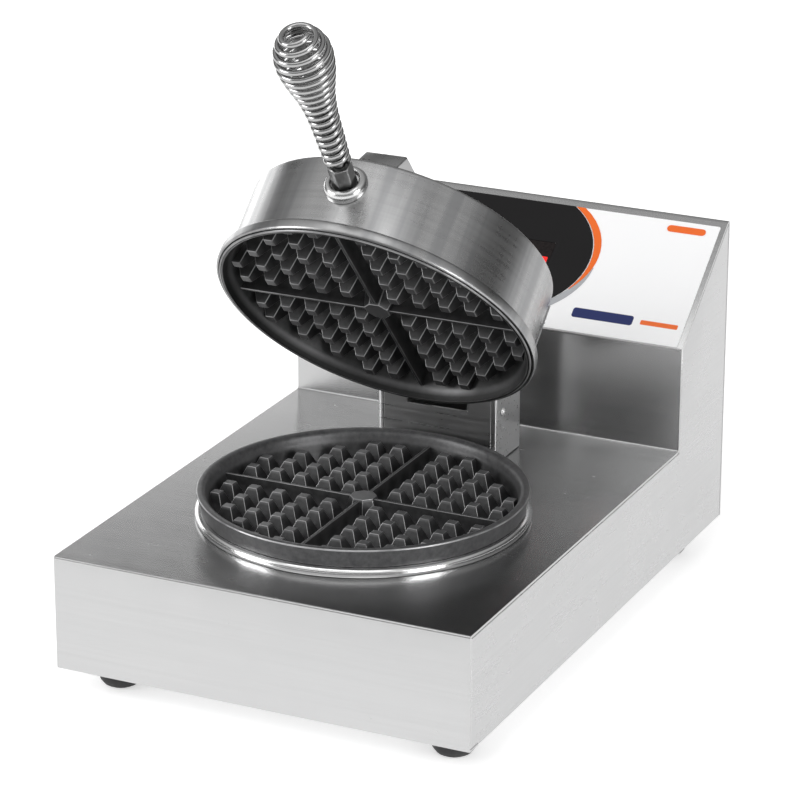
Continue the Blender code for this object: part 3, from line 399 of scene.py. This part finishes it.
def plastic(name, colour, rough=0.4):
    n = Nodes(name)
    grain = n.noise(n.place(), 1100.0, 3.0, 0.55)
    tint = n.noise(n.place(), 55.0, 3.0, 0.55)
    pale = tuple(min(1.0, c * 1.15 + 0.004) for c in colour)
    n.set(Base_Color=n.mix(tint, colour, pale))
    n.set(Roughness=n.level(grain, rough - 0.06, rough + 0.12))
    n.bump((grain, 0.18, 0.00015))
    return n.material


def wool(name, lid=False):
    n = Nodes(name)
    where = n.place(lid)
    fluff = n.noise(where, 320.0, 6.0, 0.7, 1.2)
    n.set(Base_Color=n.ramp(fluff, (0.3, (0.36, 0.31, 0.22)), (0.7, (0.66, 0.6, 0.47))), Roughness=0.95)
    n.bump((fluff, 0.7, 0.001))
    return n.material


def box_mask(n, x, y, middle, half, corner):
    """1 inside a rounded rectangle in the plane of x and y, 0 outside."""
    reach = []
    for value, centre, size in zip((x, y), middle, half):
        off = n.math("ABSOLUTE", n.math("SUBTRACT", value, centre))
        reach.append(n.math("MAXIMUM", n.math("SUBTRACT", off, size - corner), 0.0))
    square = n.math("MULTIPLY_ADD", reach[0], reach[0], n.math("MULTIPLY", reach[1], reach[1]))
    distance = n.math("SUBTRACT", n.math("SQRT", square), corner)
    return n.math("MULTIPLY_ADD", distance, -0.5 / MASK_EDGE, 0.5, clamp=True)


label_low, label_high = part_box("control_label")
# The film's own thickness adds this much to the height and to the depth of its box
FILM_RISE = 0.00031
FILM_RUN = 0.00025
SLOPE = math.atan2(label_high.z - label_low.z - FILM_RISE, label_high.y - label_low.y - FILM_RUN)
LABEL_BOTTOM = 0.0007


def panel_axes(n):
    """X across and S up the slope, from the slanted face's lower bend."""
    split = n.add("ShaderNodeSeparateXYZ")
    n.link(n.place(), split.inputs[0])
    start = label_low.y * math.cos(SLOPE) + label_low.z * math.sin(SLOPE) - LABEL_BOTTOM
    up = n.math("MULTIPLY_ADD", split.outputs[1], math.cos(SLOPE), -start)
    return split.outputs[0], n.math("MULTIPLY_ADD", split.outputs[2], math.sin(SLOPE), up)


def label_film(name):
    """White film with plain blank blocks where a printed name would be."""
    n = film_nodes(name, (0.95, 0.95, 0.955), 0.36, 0.015)
    base = n.shader.inputs["Base Color"].links[0].from_socket
    x, s = panel_axes(n)
    name_bar = box_mask(n, x, s, *NAME_BAR)
    small_bar = box_mask(n, x, s, *SMALL_BAR)
    colour = n.mix(name_bar, base, NAVY)
    n.set(Base_Color=n.mix(small_bar, colour, ORANGE))
    return n.material


def lit_window(name):
    """Tinted window with a row of lit bars behind it."""
    n = Nodes(name)
    x, s = panel_axes(n)
    haze = n.noise(n.place(), 300.0, 2.0, 0.5)
    bars = None
    for i in range(LIT_BARS):
        bar = box_mask(n, x, s, (LIT_FIRST_X - LIT_STEP_X * i, LIT_S), LIT_HALF, LIT_CORNER)
        bars = bar if bars is None else n.math("MAXIMUM", bars, bar)
    unlit = n.ramp(haze, (0.3, (0.010, 0.008, 0.008)), (0.7, (0.014, 0.010, 0.010)))
    n.set(Base_Color=n.mix(bars, unlit, (0.7, 0.02, 0.02)))
    n.set(Emission_Color=n.mix(bars, (0.0, 0.0, 0.0), (1.0, 0.03, 0.02)))
    n.shader.inputs["Emission Strength"].default_value = DISPLAY_GLOW
    n.set(Roughness=n.level(haze, 0.22, 0.34))
    n.shader.inputs["Specular IOR Level"].default_value = 0.15
    return n.material


# ---------------------------------------------------------------- shapes
BODY_OF = {node: body for body, nodes in record["behaviour"]["bodies"].items() for node in nodes}


def stand_in(name, mesh, material, node, lid=False, width=0.0004, segments=2, angle=32.0):
    """A shown piece that stands for one CAD node and rides on its body."""
    mesh.polygons.foreach_set("use_smooth", [True] * len(mesh.polygons))
    mesh.set_sharp_from_angle(angle=SHARP_ANGLE)
    obj = bpy.data.objects.new(name, mesh)
    bpy.context.scene.collection.objects.link(obj)
    mesh.materials.clear()
    mesh.materials.append(material)
    if width:
        edge = obj.modifiers.new("Edges", "BEVEL")
        edge.width = width
        edge.segments = segments
        edge.limit_method = "ANGLE"
        edge.angle_limit = math.radians(angle)
        edge.harden_normals = True
    if lid:
        mesh.transform(OPEN)
    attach(obj, BODY_OF[node])
    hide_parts(node)
    return obj


def refine(node, material, width=0.0004, segments=2, edges=None):
    """The CAD node's own shape with its flat faces joined up, soft edges and smooth curves."""
    made = bmesh.new()
    made.from_mesh(frame["nodes"][node].data)
    bmesh.ops.remove_doubles(made, verts=made.verts, dist=JOIN_DISTANCE)
    bmesh.ops.dissolve_limit(made, angle_limit=FLAT_ANGLE, verts=made.verts, edges=made.edges)
    bmesh.ops.recalc_face_normals(made, faces=made.faces)
    mesh = bpy.data.meshes.new(node + "_skin")
    made.to_mesh(mesh)
    made.free()
    obj = stand_in(node + "_skin", mesh, material, node, False, width, segments)
    if edges is not None:
        mesh.materials.append(edges)
        obj.modifiers["Edges"].material = 1
    return obj


def lathe_into(made, profile, steps, closed=False):
    """Turns a profile of (radius, height) about Z."""
    points = [made.verts.new((r, 0.0, z)) for r, z in profile]
    pairs = list(zip(points, points[1:]))
    if closed:
        pairs.append((points[-1], points[0]))
    edges = [made.edges.new(pair) for pair in pairs]
    bmesh.ops.spin(
        made,
        geom=points + edges,
        axis=(0.0, 0.0, 1.0),
        cent=(0.0, 0.0, 0.0),
        steps=steps,
        angle=math.tau,
    )
    bmesh.ops.remove_doubles(made, verts=made.verts, dist=0.000002)


def arc(centre, radius, start, end, count):
    """Points of an arc between two angles in degrees."""
    found = []
    for i in range(count + 1):
        angle = math.radians(start + (end - start) * i / count)
        found.append((centre[0] + radius * math.cos(angle), centre[1] + radius * math.sin(angle)))
    return found


def as_mesh(made, name, move=(0.0, 0.0, 0.0), turn=None):
    bmesh.ops.recalc_face_normals(made, faces=made.faces)
    if turn is not None:
        bmesh.ops.transform(made, matrix=turn, verts=made.verts)
    bmesh.ops.translate(made, vec=Vector(move), verts=made.verts)
    mesh = bpy.data.meshes.new(name)
    made.to_mesh(mesh)
    made.free()
    return mesh


def tapered(made, centre, low, high, root, tip):
    """A block that narrows from its root size to its tip size."""
    grown = bmesh.ops.create_cube(made, size=1.0)["verts"]
    for vertex in grown:
        top = vertex.co.z > 0
        size = high if top else low
        vertex.co = (
            centre[0] + math.copysign(size[0] / 2, vertex.co.x),
            centre[1] + math.copysign(size[1] / 2, vertex.co.y),
            tip if top else root,
        )


def cell_plate(node, profile, reach, material, place, lid):
    """A turned dish with a lattice of pins, two crossing ribs and a hub standing in it."""
    made = bmesh.new()
    lathe_into(made, profile, 144)
    dish = set(made.verts)
    root, tip = PLATE_ROOT, PIN_TIP
    spots = [FIRST + PITCH * k for k in range(PINS_PER_ROW)]
    base = PIN_TOP + PIN_FLARE * (tip - root)
    for x in spots:
        for y in spots:
            if math.hypot(x, y) > PIN_REACH:
                continue
            for sx in (-1, 1):
                for sy in (-1, 1):
                    tapered(made, (sx * x, sy * y), (base, base), (PIN_TOP, PIN_TOP), root, tip)
    length = 2 * (reach - 0.5 * MM)
    tapered(made, (0.0, 0.0), (length, RIB_BASE), (length, RIB_TOP), root, RIB_TIPS[0])
    tapered(made, (0.0, 0.0), (RIB_BASE, length), (RIB_TOP, length), root, RIB_TIPS[1])
    hub = bmesh.ops.create_cone(
        made,
        cap_ends=True,
        segments=8,
        radius1=HUB_BASE_R,
        radius2=HUB_TOP_R,
        depth=tip - root,
        matrix=Matrix.Translation((0.0, 0.0, (tip + root) / 2)) @ Matrix.Rotation(math.pi / 8, 4, "Z"),
    )["verts"]
    for vertex in made.verts:
        far = math.hypot(vertex.co.x, vertex.co.y)
        if vertex not in dish and vertex not in hub and far > reach:
            vertex.co.x *= reach / far
            vertex.co.y *= reach / far
    turn = Matrix.Rotation(math.pi, 4, "X") if lid else None
    mesh = as_mesh(made, node + "_casting", place, turn)
    obj = stand_in(node + "_casting", mesh, material, node, lid, 0.5 * MM, 3, 30.0)
    # The lid's pale edges are darker than the lower grid's: painted shade
    mesh.materials.append(edge_wear_and_highlight(node + "_edges", lid, 0.26 if lid else 0.42))
    obj.modifiers["Edges"].material = 1
    return obj


def tube(name, points, radius, resolution):
    """A round wire through the points, with closed ends."""
    curve = bpy.data.curves.new(name, "CURVE")
    curve.dimensions = "3D"
    curve.bevel_depth = radius
    curve.bevel_resolution = resolution
    curve.use_fill_caps = True
    spline = curve.splines.new("POLY")
    spline.points.add(len(points) - 1)
    for point, where in zip(spline.points, points):
        point.co = (*where, 1.0)
    holder = bpy.data.objects.new(name, curve)
    bpy.context.scene.collection.objects.link(holder)
    bpy.context.view_layer.update()
    mesh = bpy.data.meshes.new_from_object(holder.evaluated_get(bpy.context.evaluated_depsgraph_get()))
    bpy.data.objects.remove(holder, do_unlink=True)
    mesh.name = name
    return mesh


# ---------------------------------------------------------------- castings
lower_profile = [
    (0.0, -FLOOR),
    (89.0 * MM, -FLOOR),
    (92.6 * MM, -8.0 * MM),
    (93.4 * MM, -4.6 * MM),
    (93.9 * MM, -2.9 * MM),
    (94.5 * MM, -1.6 * MM),
    (95.3 * MM, -0.7 * MM),
    (96.3 * MM, -0.15 * MM),
    (97.2 * MM, 0.0),
    (98.6 * MM, 0.0),
    (99.2 * MM, -0.15 * MM),
    (99.65 * MM, -0.5 * MM),
    (99.85 * MM, -1.0 * MM),
    (97.6 * MM, -11.7 * MM),
    (95.6 * MM, -11.7 * MM),
    (95.6 * MM, -24.0 * MM),
    (0.0, -24.0 * MM),
]
lower_cast = cast("lower_casting", False, 0.11, 0.26)
cell_plate("lower_grid", lower_profile, 94.4 * MM, lower_cast, (0.0, GRID_Y, RIM_Z), False)
upper_profile = [
    (0.0, -FLOOR),
    (88.6 * MM, -FLOOR),
    (91.9 * MM, -6.0 * MM),
    (94.9 * MM, -0.5 * MM),
    (95.4 * MM, 0.0),
    (97.0 * MM, 0.0),
    (97.6 * MM, -0.6 * MM),
    (97.6 * MM, -5.4 * MM),
    (93.4 * MM, -5.4 * MM),
    (93.4 * MM, -24.0 * MM),
    (0.0, -24.0 * MM),
]
# The lid's casting gets darker tones than the lower one: painted shade
upper_cast = cast("upper_casting", True, 0.07, 0.13)
cell_plate("upper_grid", upper_profile, 92.2 * MM, upper_cast, (0.0, GRID_Y, LID_RIM_Z), True)


# ---------------------------------------------------------------- turned parts
TURNED_STEPS = 160


def turned(node, profile, material, place, lid, closed=False):
    """A piece turned about the grids' upright axis, laid out with the lid closed."""
    made = bmesh.new()
    lathe_into(made, profile, TURNED_STEPS, closed)
    mesh = as_mesh(made, node + "_turned", place)
    return stand_in(node + "_turned", mesh, material, node, lid, 0.0)


RING_HIGH = -12.0 * MM
ring_profile = [(96.3 * MM, RING_HIGH), (98.6 * MM, RING_HIGH)]
ring_profile += [
    (99.5 * MM, RING_HIGH - 0.25 * MM),
    (100.2 * MM, RING_HIGH - 0.7 * MM),
    (100.75 * MM, RING_HIGH - 1.3 * MM),
    (101.1 * MM, RING_HIGH - 2.0 * MM),
    (101.2 * MM, RING_HIGH - 3.0 * MM),
    (101.05 * MM, RING_HIGH - 4.1 * MM),
    (100.6 * MM, RING_HIGH - 5.1 * MM),
    (96.3 * MM, RING_HIGH - 5.1 * MM),
]
turned("lower_ring", ring_profile, polished("ring_polish", 0.8, 0.12), (0.0, GRID_Y, RIM_Z), False, True)

DRUM_R = 94.6 * MM
DRUM_BASE = 8.3 * MM
DRUM_TOP = 54.3 * MM
DRUM_SHEET = 0.9 * MM
DRUM_CORNER = 2.2 * MM
drum_profile = [(0.0, DRUM_TOP)]
drum_profile += arc((DRUM_R - DRUM_CORNER, DRUM_TOP - DRUM_CORNER), DRUM_CORNER, 90, 0, 7)
drum_profile += [(DRUM_R, DRUM_BASE + 0.2 * MM), (DRUM_R - 0.2 * MM, DRUM_BASE)]
drum_profile += [(DRUM_R - DRUM_SHEET, DRUM_BASE), (DRUM_R - DRUM_SHEET, DRUM_TOP - DRUM_CORNER)]
drum_profile += [(DRUM_R - DRUM_CORNER, DRUM_TOP - DRUM_SHEET), (0.0, DRUM_TOP - DRUM_SHEET)]
lid_place = (0.0, GRID_Y, LID_RIM_Z)
turned("lid_drum", drum_profile, drum_steel("drum_sheet", 0.42, 0.28), lid_place, True)

flange_low = 1.1 * MM
flange_high = DRUM_BASE - 0.3 * MM
flange_profile = [
    (93.7 * MM, flange_high),
    (98.4 * MM, flange_high),
    (98.9 * MM, flange_high - 0.18 * MM),
    (99.35 * MM, flange_high - 0.6 * MM),
    (99.65 * MM, flange_high - 1.1 * MM),
    (99.75 * MM, flange_high - 1.7 * MM),
    (99.75 * MM, flange_low + 1.2 * MM),
    (99.6 * MM, flange_low + 0.6 * MM),
    (99.2 * MM, flange_low + 0.05 * MM),
    (98.75 * MM, flange_low),
    (98.3 * MM, flange_low + 0.05 * MM),
    (98.0 * MM, flange_low + 0.4 * MM),
    (98.0 * MM, 5.7 * MM),
    (93.7 * MM, 5.7 * MM),
]
turned("lid_flange", flange_profile, drum_steel("flange_sheet", 0.36, 0.3), lid_place, True, True)

# ---------------------------------------------------------------- handle
HANDLE_TILT = math.radians(11.3)
HANDLE_RISE = 35.5 * MM
HANDLE_TURN = Matrix.Rotation(math.pi / 2 - HANDLE_TILT, 4, "X")
HANDLE_ROOT = (0.0, GRID_Y - DRUM_R, LID_RIM_Z + HANDLE_RISE)


def carve(mesh, cutter):
    """The mesh with another one taken away from it."""
    body = bpy.data.objects.new("carve_body", mesh)
    tool = bpy.data.objects.new("carve_tool", cutter)
    for obj in (body, tool):
        bpy.context.scene.collection.objects.link(obj)
    cut = body.modifiers.new("Cut", "BOOLEAN")
    cut.operation = "DIFFERENCE"
    cut.object = tool
    cut.solver = "EXACT"
    bpy.context.view_layer.update()
    found = bpy.data.meshes.new_from_object(body.evaluated_get(bpy.context.evaluated_depsgraph_get()))
    for obj in (body, tool):
        bpy.data.objects.remove(obj, do_unlink=True)
    return found


ferrule_profile = [
    (8.4 * MM, 2.6 * MM),
    (8.6 * MM, 3.3 * MM),
    (9.2 * MM, 4.0 * MM),
    (9.8 * MM, 4.2 * MM),
    (10.5 * MM, 4.15 * MM),
    (11.3 * MM, 3.75 * MM),
    (12.1 * MM, 3.05 * MM),
    (12.8 * MM, 2.0 * MM),
    (13.1 * MM, 1.1 * MM),
    (13.2 * MM, 0.2 * MM),
    (13.2 * MM, -4.0 * MM),
    (8.4 * MM, -4.0 * MM),
]
made = bmesh.new()
lathe_into(made, ferrule_profile, 96, True)
ferrule = as_mesh(made, "ferrule", HANDLE_ROOT, HANDLE_TURN)
made = bmesh.new()
bmesh.ops.create_cone(
    made,
    cap_ends=True,
    segments=240,
    radius1=DRUM_R + 0.3 * MM,
    radius2=DRUM_R + 0.3 * MM,
    depth=0.12,
    matrix=Matrix.Translation((0.0, GRID_Y, HANDLE_ROOT[2])),
)
ferrule = carve(ferrule, as_mesh(made, "drum_room"))
ferrule_metal = polished("ferrule_metal", 0.66, 0.2, True)
stand_in("handle_ferrule_turned", ferrule, ferrule_metal, "handle_ferrule", True, 0.0)

# Share of the coil's length, and the wire's distance from the axis in millimetres
COIL_SHAPE = (
    (0.00, 6.1),
    (0.16, 6.7),
    (0.36, 7.5),
    (0.51, 9.3),
    (0.65, 12.8),
    (0.74, 14.8),
    (0.81, 15.5),
    (0.86, 15.2),
    (0.91, 13.6),
    (0.96, 10.8),
    (1.00, 7.2),
)
COIL_START = 19.5 * MM
COIL_END = 120.8 * MM
COIL_TURNS = 19
COIL_STEPS = 48
WIRE_R = 1.8 * MM


def slopes(table):
    """Slopes of a smooth curve through the table that never overshoots it."""
    steps = [(y1 - y0) / (x1 - x0) for (x0, y0), (x1, y1) in zip(table, table[1:])]
    found = [steps[0]]
    for a, b in zip(steps, steps[1:]):
        found.append(0.0 if a * b <= 0 else 2 * a * b / (a + b))
    found.append(steps[-1])
    return found


COIL_SLOPES = slopes(COIL_SHAPE)


def coil_radius(share):
    """The wire's distance from the axis at a share of the coil's length."""
    for i, ((a, low), (b, high)) in enumerate(zip(COIL_SHAPE, COIL_SHAPE[1:])):
        if share <= b:
            span = b - a
            t = (share - a) / span
            found = low * (2 * t ** 3 - 3 * t ** 2 + 1) + high * (3 * t ** 2 - 2 * t ** 3)
            found += span * COIL_SLOPES[i] * (t ** 3 - 2 * t ** 2 + t)
            found += span * COIL_SLOPES[i + 1] * (t ** 3 - t ** 2)
            return found * MM
    return COIL_SHAPE[-1][1] * MM


def coil_points(turns, per_turn):
    """A helix whose turns are spaced evenly along the coil's outline."""
    samples = 4000
    meridian = [0.0]
    for i in range(1, samples + 1):
        rise = coil_radius(i / samples) - coil_radius((i - 1) / samples)
        meridian.append(meridian[-1] + math.hypot((COIL_END - COIL_START) / samples, rise))
    found = []
    here = 0
    count = turns * per_turn
    for i in range(count + 1):
        wanted = meridian[-1] * i / count
        while here < samples and meridian[here] < wanted:
            here += 1
        share = here / samples
        radius = coil_radius(share)
        angle = math.tau * i / per_turn
        along = COIL_START + (COIL_END - COIL_START) * share
        found.append((radius * math.cos(angle), radius * math.sin(angle), along))
    return found


wire = tube("handle_wire", coil_points(COIL_TURNS, COIL_STEPS), WIRE_R, 5)
wire.transform(Matrix.Translation(HANDLE_ROOT) @ HANDLE_TURN)
chrome = polished("coil_chrome", 0.42, 0.12, True)
stand_in("handle_coil_wire", wire, chrome, "handle_coil", True, 0.0)

# ---------------------------------------------------------------- sheet, screws and film
# Painted highlight: the wrap's bevelled edges get a brighter polished metal than the sheet
wrap_edge_highlight = polished("wrap_edge_highlight", 0.86, 0.24)
refine("body_wrap", steel("wrap_sheet", 0.53, 0.25, "x", spread=0.03), 0.0007, 3, edges=wrap_edge_highlight)
for side in ("left", "right"):
    side_steel = steel(f"side_sheet_{side}", 0.55, 0.28, "y", spread=0.03)
    # Painted highlight: the side panel's bevelled edges get a brighter polished metal than the sheet
    refine(f"side_panel_{side}", side_steel, 0.0006, 3, edges=polished(f"side_edge_highlight_{side}", 0.8, 0.26))
    refine(f"foot_front_{side}", rubber(f"foot_front_{side}_rubber"), 0.0012, 4)
    refine(f"foot_rear_{side}", rubber(f"foot_rear_{side}_rubber"), 0.0012, 4)
    refine(f"tower_screw_{side}", polished(f"tower_screw_{side}_metal", 0.75, 0.16), 0.0002)
    refine(f"spacer_{side}", polished(f"spacer_{side}_zinc", 0.55, 0.3), 0.0003)
refine("rear_panel", steel("rear_sheet", 0.57, 0.32, "x"), 0.0003)
refine("bottom_cover", steel("cover_sheet", 0.5, 0.42, "x"), 0.0003)
for i in range(1, 5):
    refine(f"rear_screw_{i}", polished(f"rear_screw_{i}_metal", 0.72, 0.2), 0.0002)
refine("hinge_tower", steel("tower_sheet", 0.56, 0.3, "x"), 0.0004)
refine("tower_front_plate", steel("tower_front_sheet", 0.5, 0.3, "x"), 0.0003)
refine("hinge_pin", polished("pin_metal", 0.6, 0.24), 0.0004)
refine("lap_strip", drum_steel("lap_sheet", 0.48, 0.26), 0.0003)
for name in ("rivet_low", "rivet_high"):
    refine(name, polished(name + "_metal", 0.78, 0.14, True), 0.0003)
refine("lid_arm", steel("arm_sheet", 0.45, 0.3, "y", True), 0.0010, 3)
refine("handle_hex", polished("hex_metal", 0.3, 0.28, True), 0.0005)
refine("handle_rod", polished("rod_metal", 0.25, 0.34, True), 0.0003)
refine("control_label", label_film("label_film"), 0.0001)
refine("accent_band", film("accent_film", (0.86, 0.15, 0.015), 0.34), 0.00008)
refine("shade_band", film("shade_film", (0.42, 0.43, 0.45), 0.3), 0.00008)
refine("notice_blank", film("notice_film", (0.86, 0.15, 0.02), 0.34), 0.00008)
refine("oval_panel", film("oval_film", (0.011, 0.0105, 0.011), 0.32, 0.2, 0.15), 0.0)
window = refine("display_window", lit_window("window_glass"), 0.0)
window_low, window_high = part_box("display_window")
window_centre = Matrix.Translation((window_low + window_high) / 2)
# Grown a little, to close the gap around it
window_growth = Matrix.Diagonal((1.0088, 1.032, 1.032, 1.0))
window.data.transform(window_centre @ window_growth @ window_centre.inverted())
for name in ("key_left", "key_middle", "key_right"):
    refine(name, plastic(name + "_cap", (0.5, 0.51, 0.53), 0.35), 0.0006, 3)
refine("cord_inlet", plastic("inlet_plastic", (0.015, 0.015, 0.016), 0.45), 0.0006, 3)

# ---------------------------------------------------------------- inner parts
INNER = {
    "lower_heater": polished("lower_heater_metal", 0.35, 0.45),
    "upper_heater": polished("upper_heater_metal", 0.35, 0.45, True),
    "lower_insulation": wool("lower_wool"),
    "upper_insulation": wool("upper_wool", True),
    "heat_pan": steel("pan_sheet", 0.5, 0.42, "x"),
    "sensor_bulb": polished("bulb_metal", 0.6, 0.25),
    "control_board": plastic("board_laminate", (0.012, 0.10, 0.035), 0.4),
    "power_relay": plastic("relay_plastic", (0.02, 0.02, 0.024), 0.42),
    "terminal_block": plastic("terminal_plastic", (0.03, 0.03, 0.032), 0.5),
}
for name, material in INNER.items():
    refine(name, material, 0.0003)


# ---------------------------------------------------------------- studio
def studio_floor():
    made = bmesh.new()
    bmesh.ops.create_grid(made, x_segments=2, y_segments=2, size=30.0)
    mesh = as_mesh(made, "studio_floor")
    floor = bpy.data.objects.new("studio_floor", mesh)
    bpy.context.scene.collection.objects.link(floor)
    n = Nodes("floor_paper")
    paper = n.noise(n.place(), 3.0, 2.0, 0.5)
    n.set(Base_Color=n.ramp(paper, (0.3, 0.84), (0.7, 0.86)), Roughness=0.9)
    n.shader.inputs["Emission Color"].default_value = (1.0, 1.0, 1.0, 1.0)
    n.shader.inputs["Emission Strength"].default_value = FLOOR_GLOW
    n.shader.inputs["Specular IOR Level"].default_value = 0.1
    mesh.materials.append(n.material)


def soft_light(name, place, aim, size, power, depth=None):
    data = bpy.data.lights.new(name, "AREA")
    data.shape = "RECTANGLE"
    data.size = size
    data.size_y = depth or size
    data.energy = power
    light = bpy.data.objects.new(name, data)
    light.location = place
    light.rotation_mode = "QUATERNION"
    light.rotation_quaternion = (Vector(aim) - Vector(place)).to_track_quat("-Z", "Y")
    bpy.context.scene.collection.objects.link(light)


studio_floor()
middle = (0.0, 0.0, 0.12)
soft_light("back_panel", (-1.25, 0.95, 0.36), (0.0, -0.1, 0.2), 1.5, 4.8, 0.56)
soft_light("left_panel", (-1.9, -1.5, 1.0), middle, 1.1, 24.0)
soft_light("right_panel", (2.0, -0.9, 0.8), middle, 0.9, 17.0)
soft_light("front_top_panel", (-0.05, -0.80, 2.2), middle, 2.0, 7.0, 0.7)

world = bpy.data.worlds.new("studio_air")
bpy.context.scene.world = world
world.use_nodes = True
sky = world.node_tree
air = sky.nodes["Background"]


def sky_math(operation, *values, clamp=False):
    made = sky.nodes.new("ShaderNodeMath")
    made.operation = operation
    made.use_clamp = clamp
    for socket, value in zip(made.inputs, values):
        if isinstance(value, bpy.types.NodeSocket):
            sky.links.new(value, socket)
        else:
            socket.default_value = value
    return made.outputs[0]


def sky_ramp(factor, *stops):
    made = sky.nodes.new("ShaderNodeValToRGB")
    while len(made.color_ramp.elements) < len(stops):
        made.color_ramp.elements.new(0.5)
    for element, (at, value) in zip(made.color_ramp.elements, stops):
        element.position = at
        element.color = (value, value, value, 1.0)
    sky.links.new(factor, made.inputs[0])
    return made.outputs[0]


split = sky.nodes.new("ShaderNodeSeparateXYZ")
sky.links.new(sky.nodes.new("ShaderNodeTexCoord").outputs["Generated"], split.inputs[0])
height = sky_math("MAXIMUM", split.outputs[2], 0.0)
ahead = sky_math("MULTIPLY_ADD", split.outputs[1], -0.8, 0.42, clamp=True)
near = sky_ramp(height, (0.0, 0.2), (0.38, 0.24), (0.55, 0.9), (0.76, 1.0), (0.88, 0.5), (1.0, 0.45))
far = sky_ramp(height, (0.0, 0.07), (0.38, 0.08), (0.62, 0.3), (0.85, 0.38), (1.0, 0.38))
blend = sky.nodes.new("ShaderNodeMix")
sky.links.new(ahead, blend.inputs[0])
sky.links.new(far, blend.inputs[2])
sky.links.new(near, blend.inputs[3])
sky.links.new(blend.outputs[0], air.inputs["Strength"])
air.inputs["Color"].default_value = (1.12, 1.12, 1.12, 1.0)

scene = bpy.context.scene
scene.view_settings.view_transform = "Standard"
scene.view_settings.look = "None"

# ---------------------------------------------------------------- camera
AZIMUTH = math.radians(25.3935)
ELEVATION = math.radians(20.3772)
ROLL = math.radians(0.0922)
DISTANCE = 2.2673
TARGET = Vector((-0.0051, 0.0, 0.1403))
back = Vector((
    math.sin(AZIMUTH) * math.cos(ELEVATION),
    -math.cos(AZIMUTH) * math.cos(ELEVATION),
    math.sin(ELEVATION),
))
right = Vector((math.cos(AZIMUTH), math.sin(AZIMUTH), 0.0))
up = back.cross(right)
rolled_right = right * math.cos(ROLL) + up * math.sin(ROLL)
rolled_up = up * math.cos(ROLL) - right * math.sin(ROLL)
lens = bpy.data.cameras.new("photo_camera")
lens.sensor_width = 36.0
lens.lens = 167.30
lens.clip_start = 0.1
lens.clip_end = 60.0
camera = bpy.data.objects.new("photo_camera", lens)
scene.collection.objects.link(camera)
camera.matrix_world = Matrix.Translation(TARGET + back * DISTANCE) @ Matrix((
    (rolled_right.x, rolled_up.x, back.x, 0.0),
    (rolled_right.y, rolled_up.y, back.y, 0.0),
    (rolled_right.z, rolled_up.z, back.z, 0.0),
    (0.0, 0.0, 0.0, 1.0),
))
scene.camera = camera

bpy.context.view_layer.update()
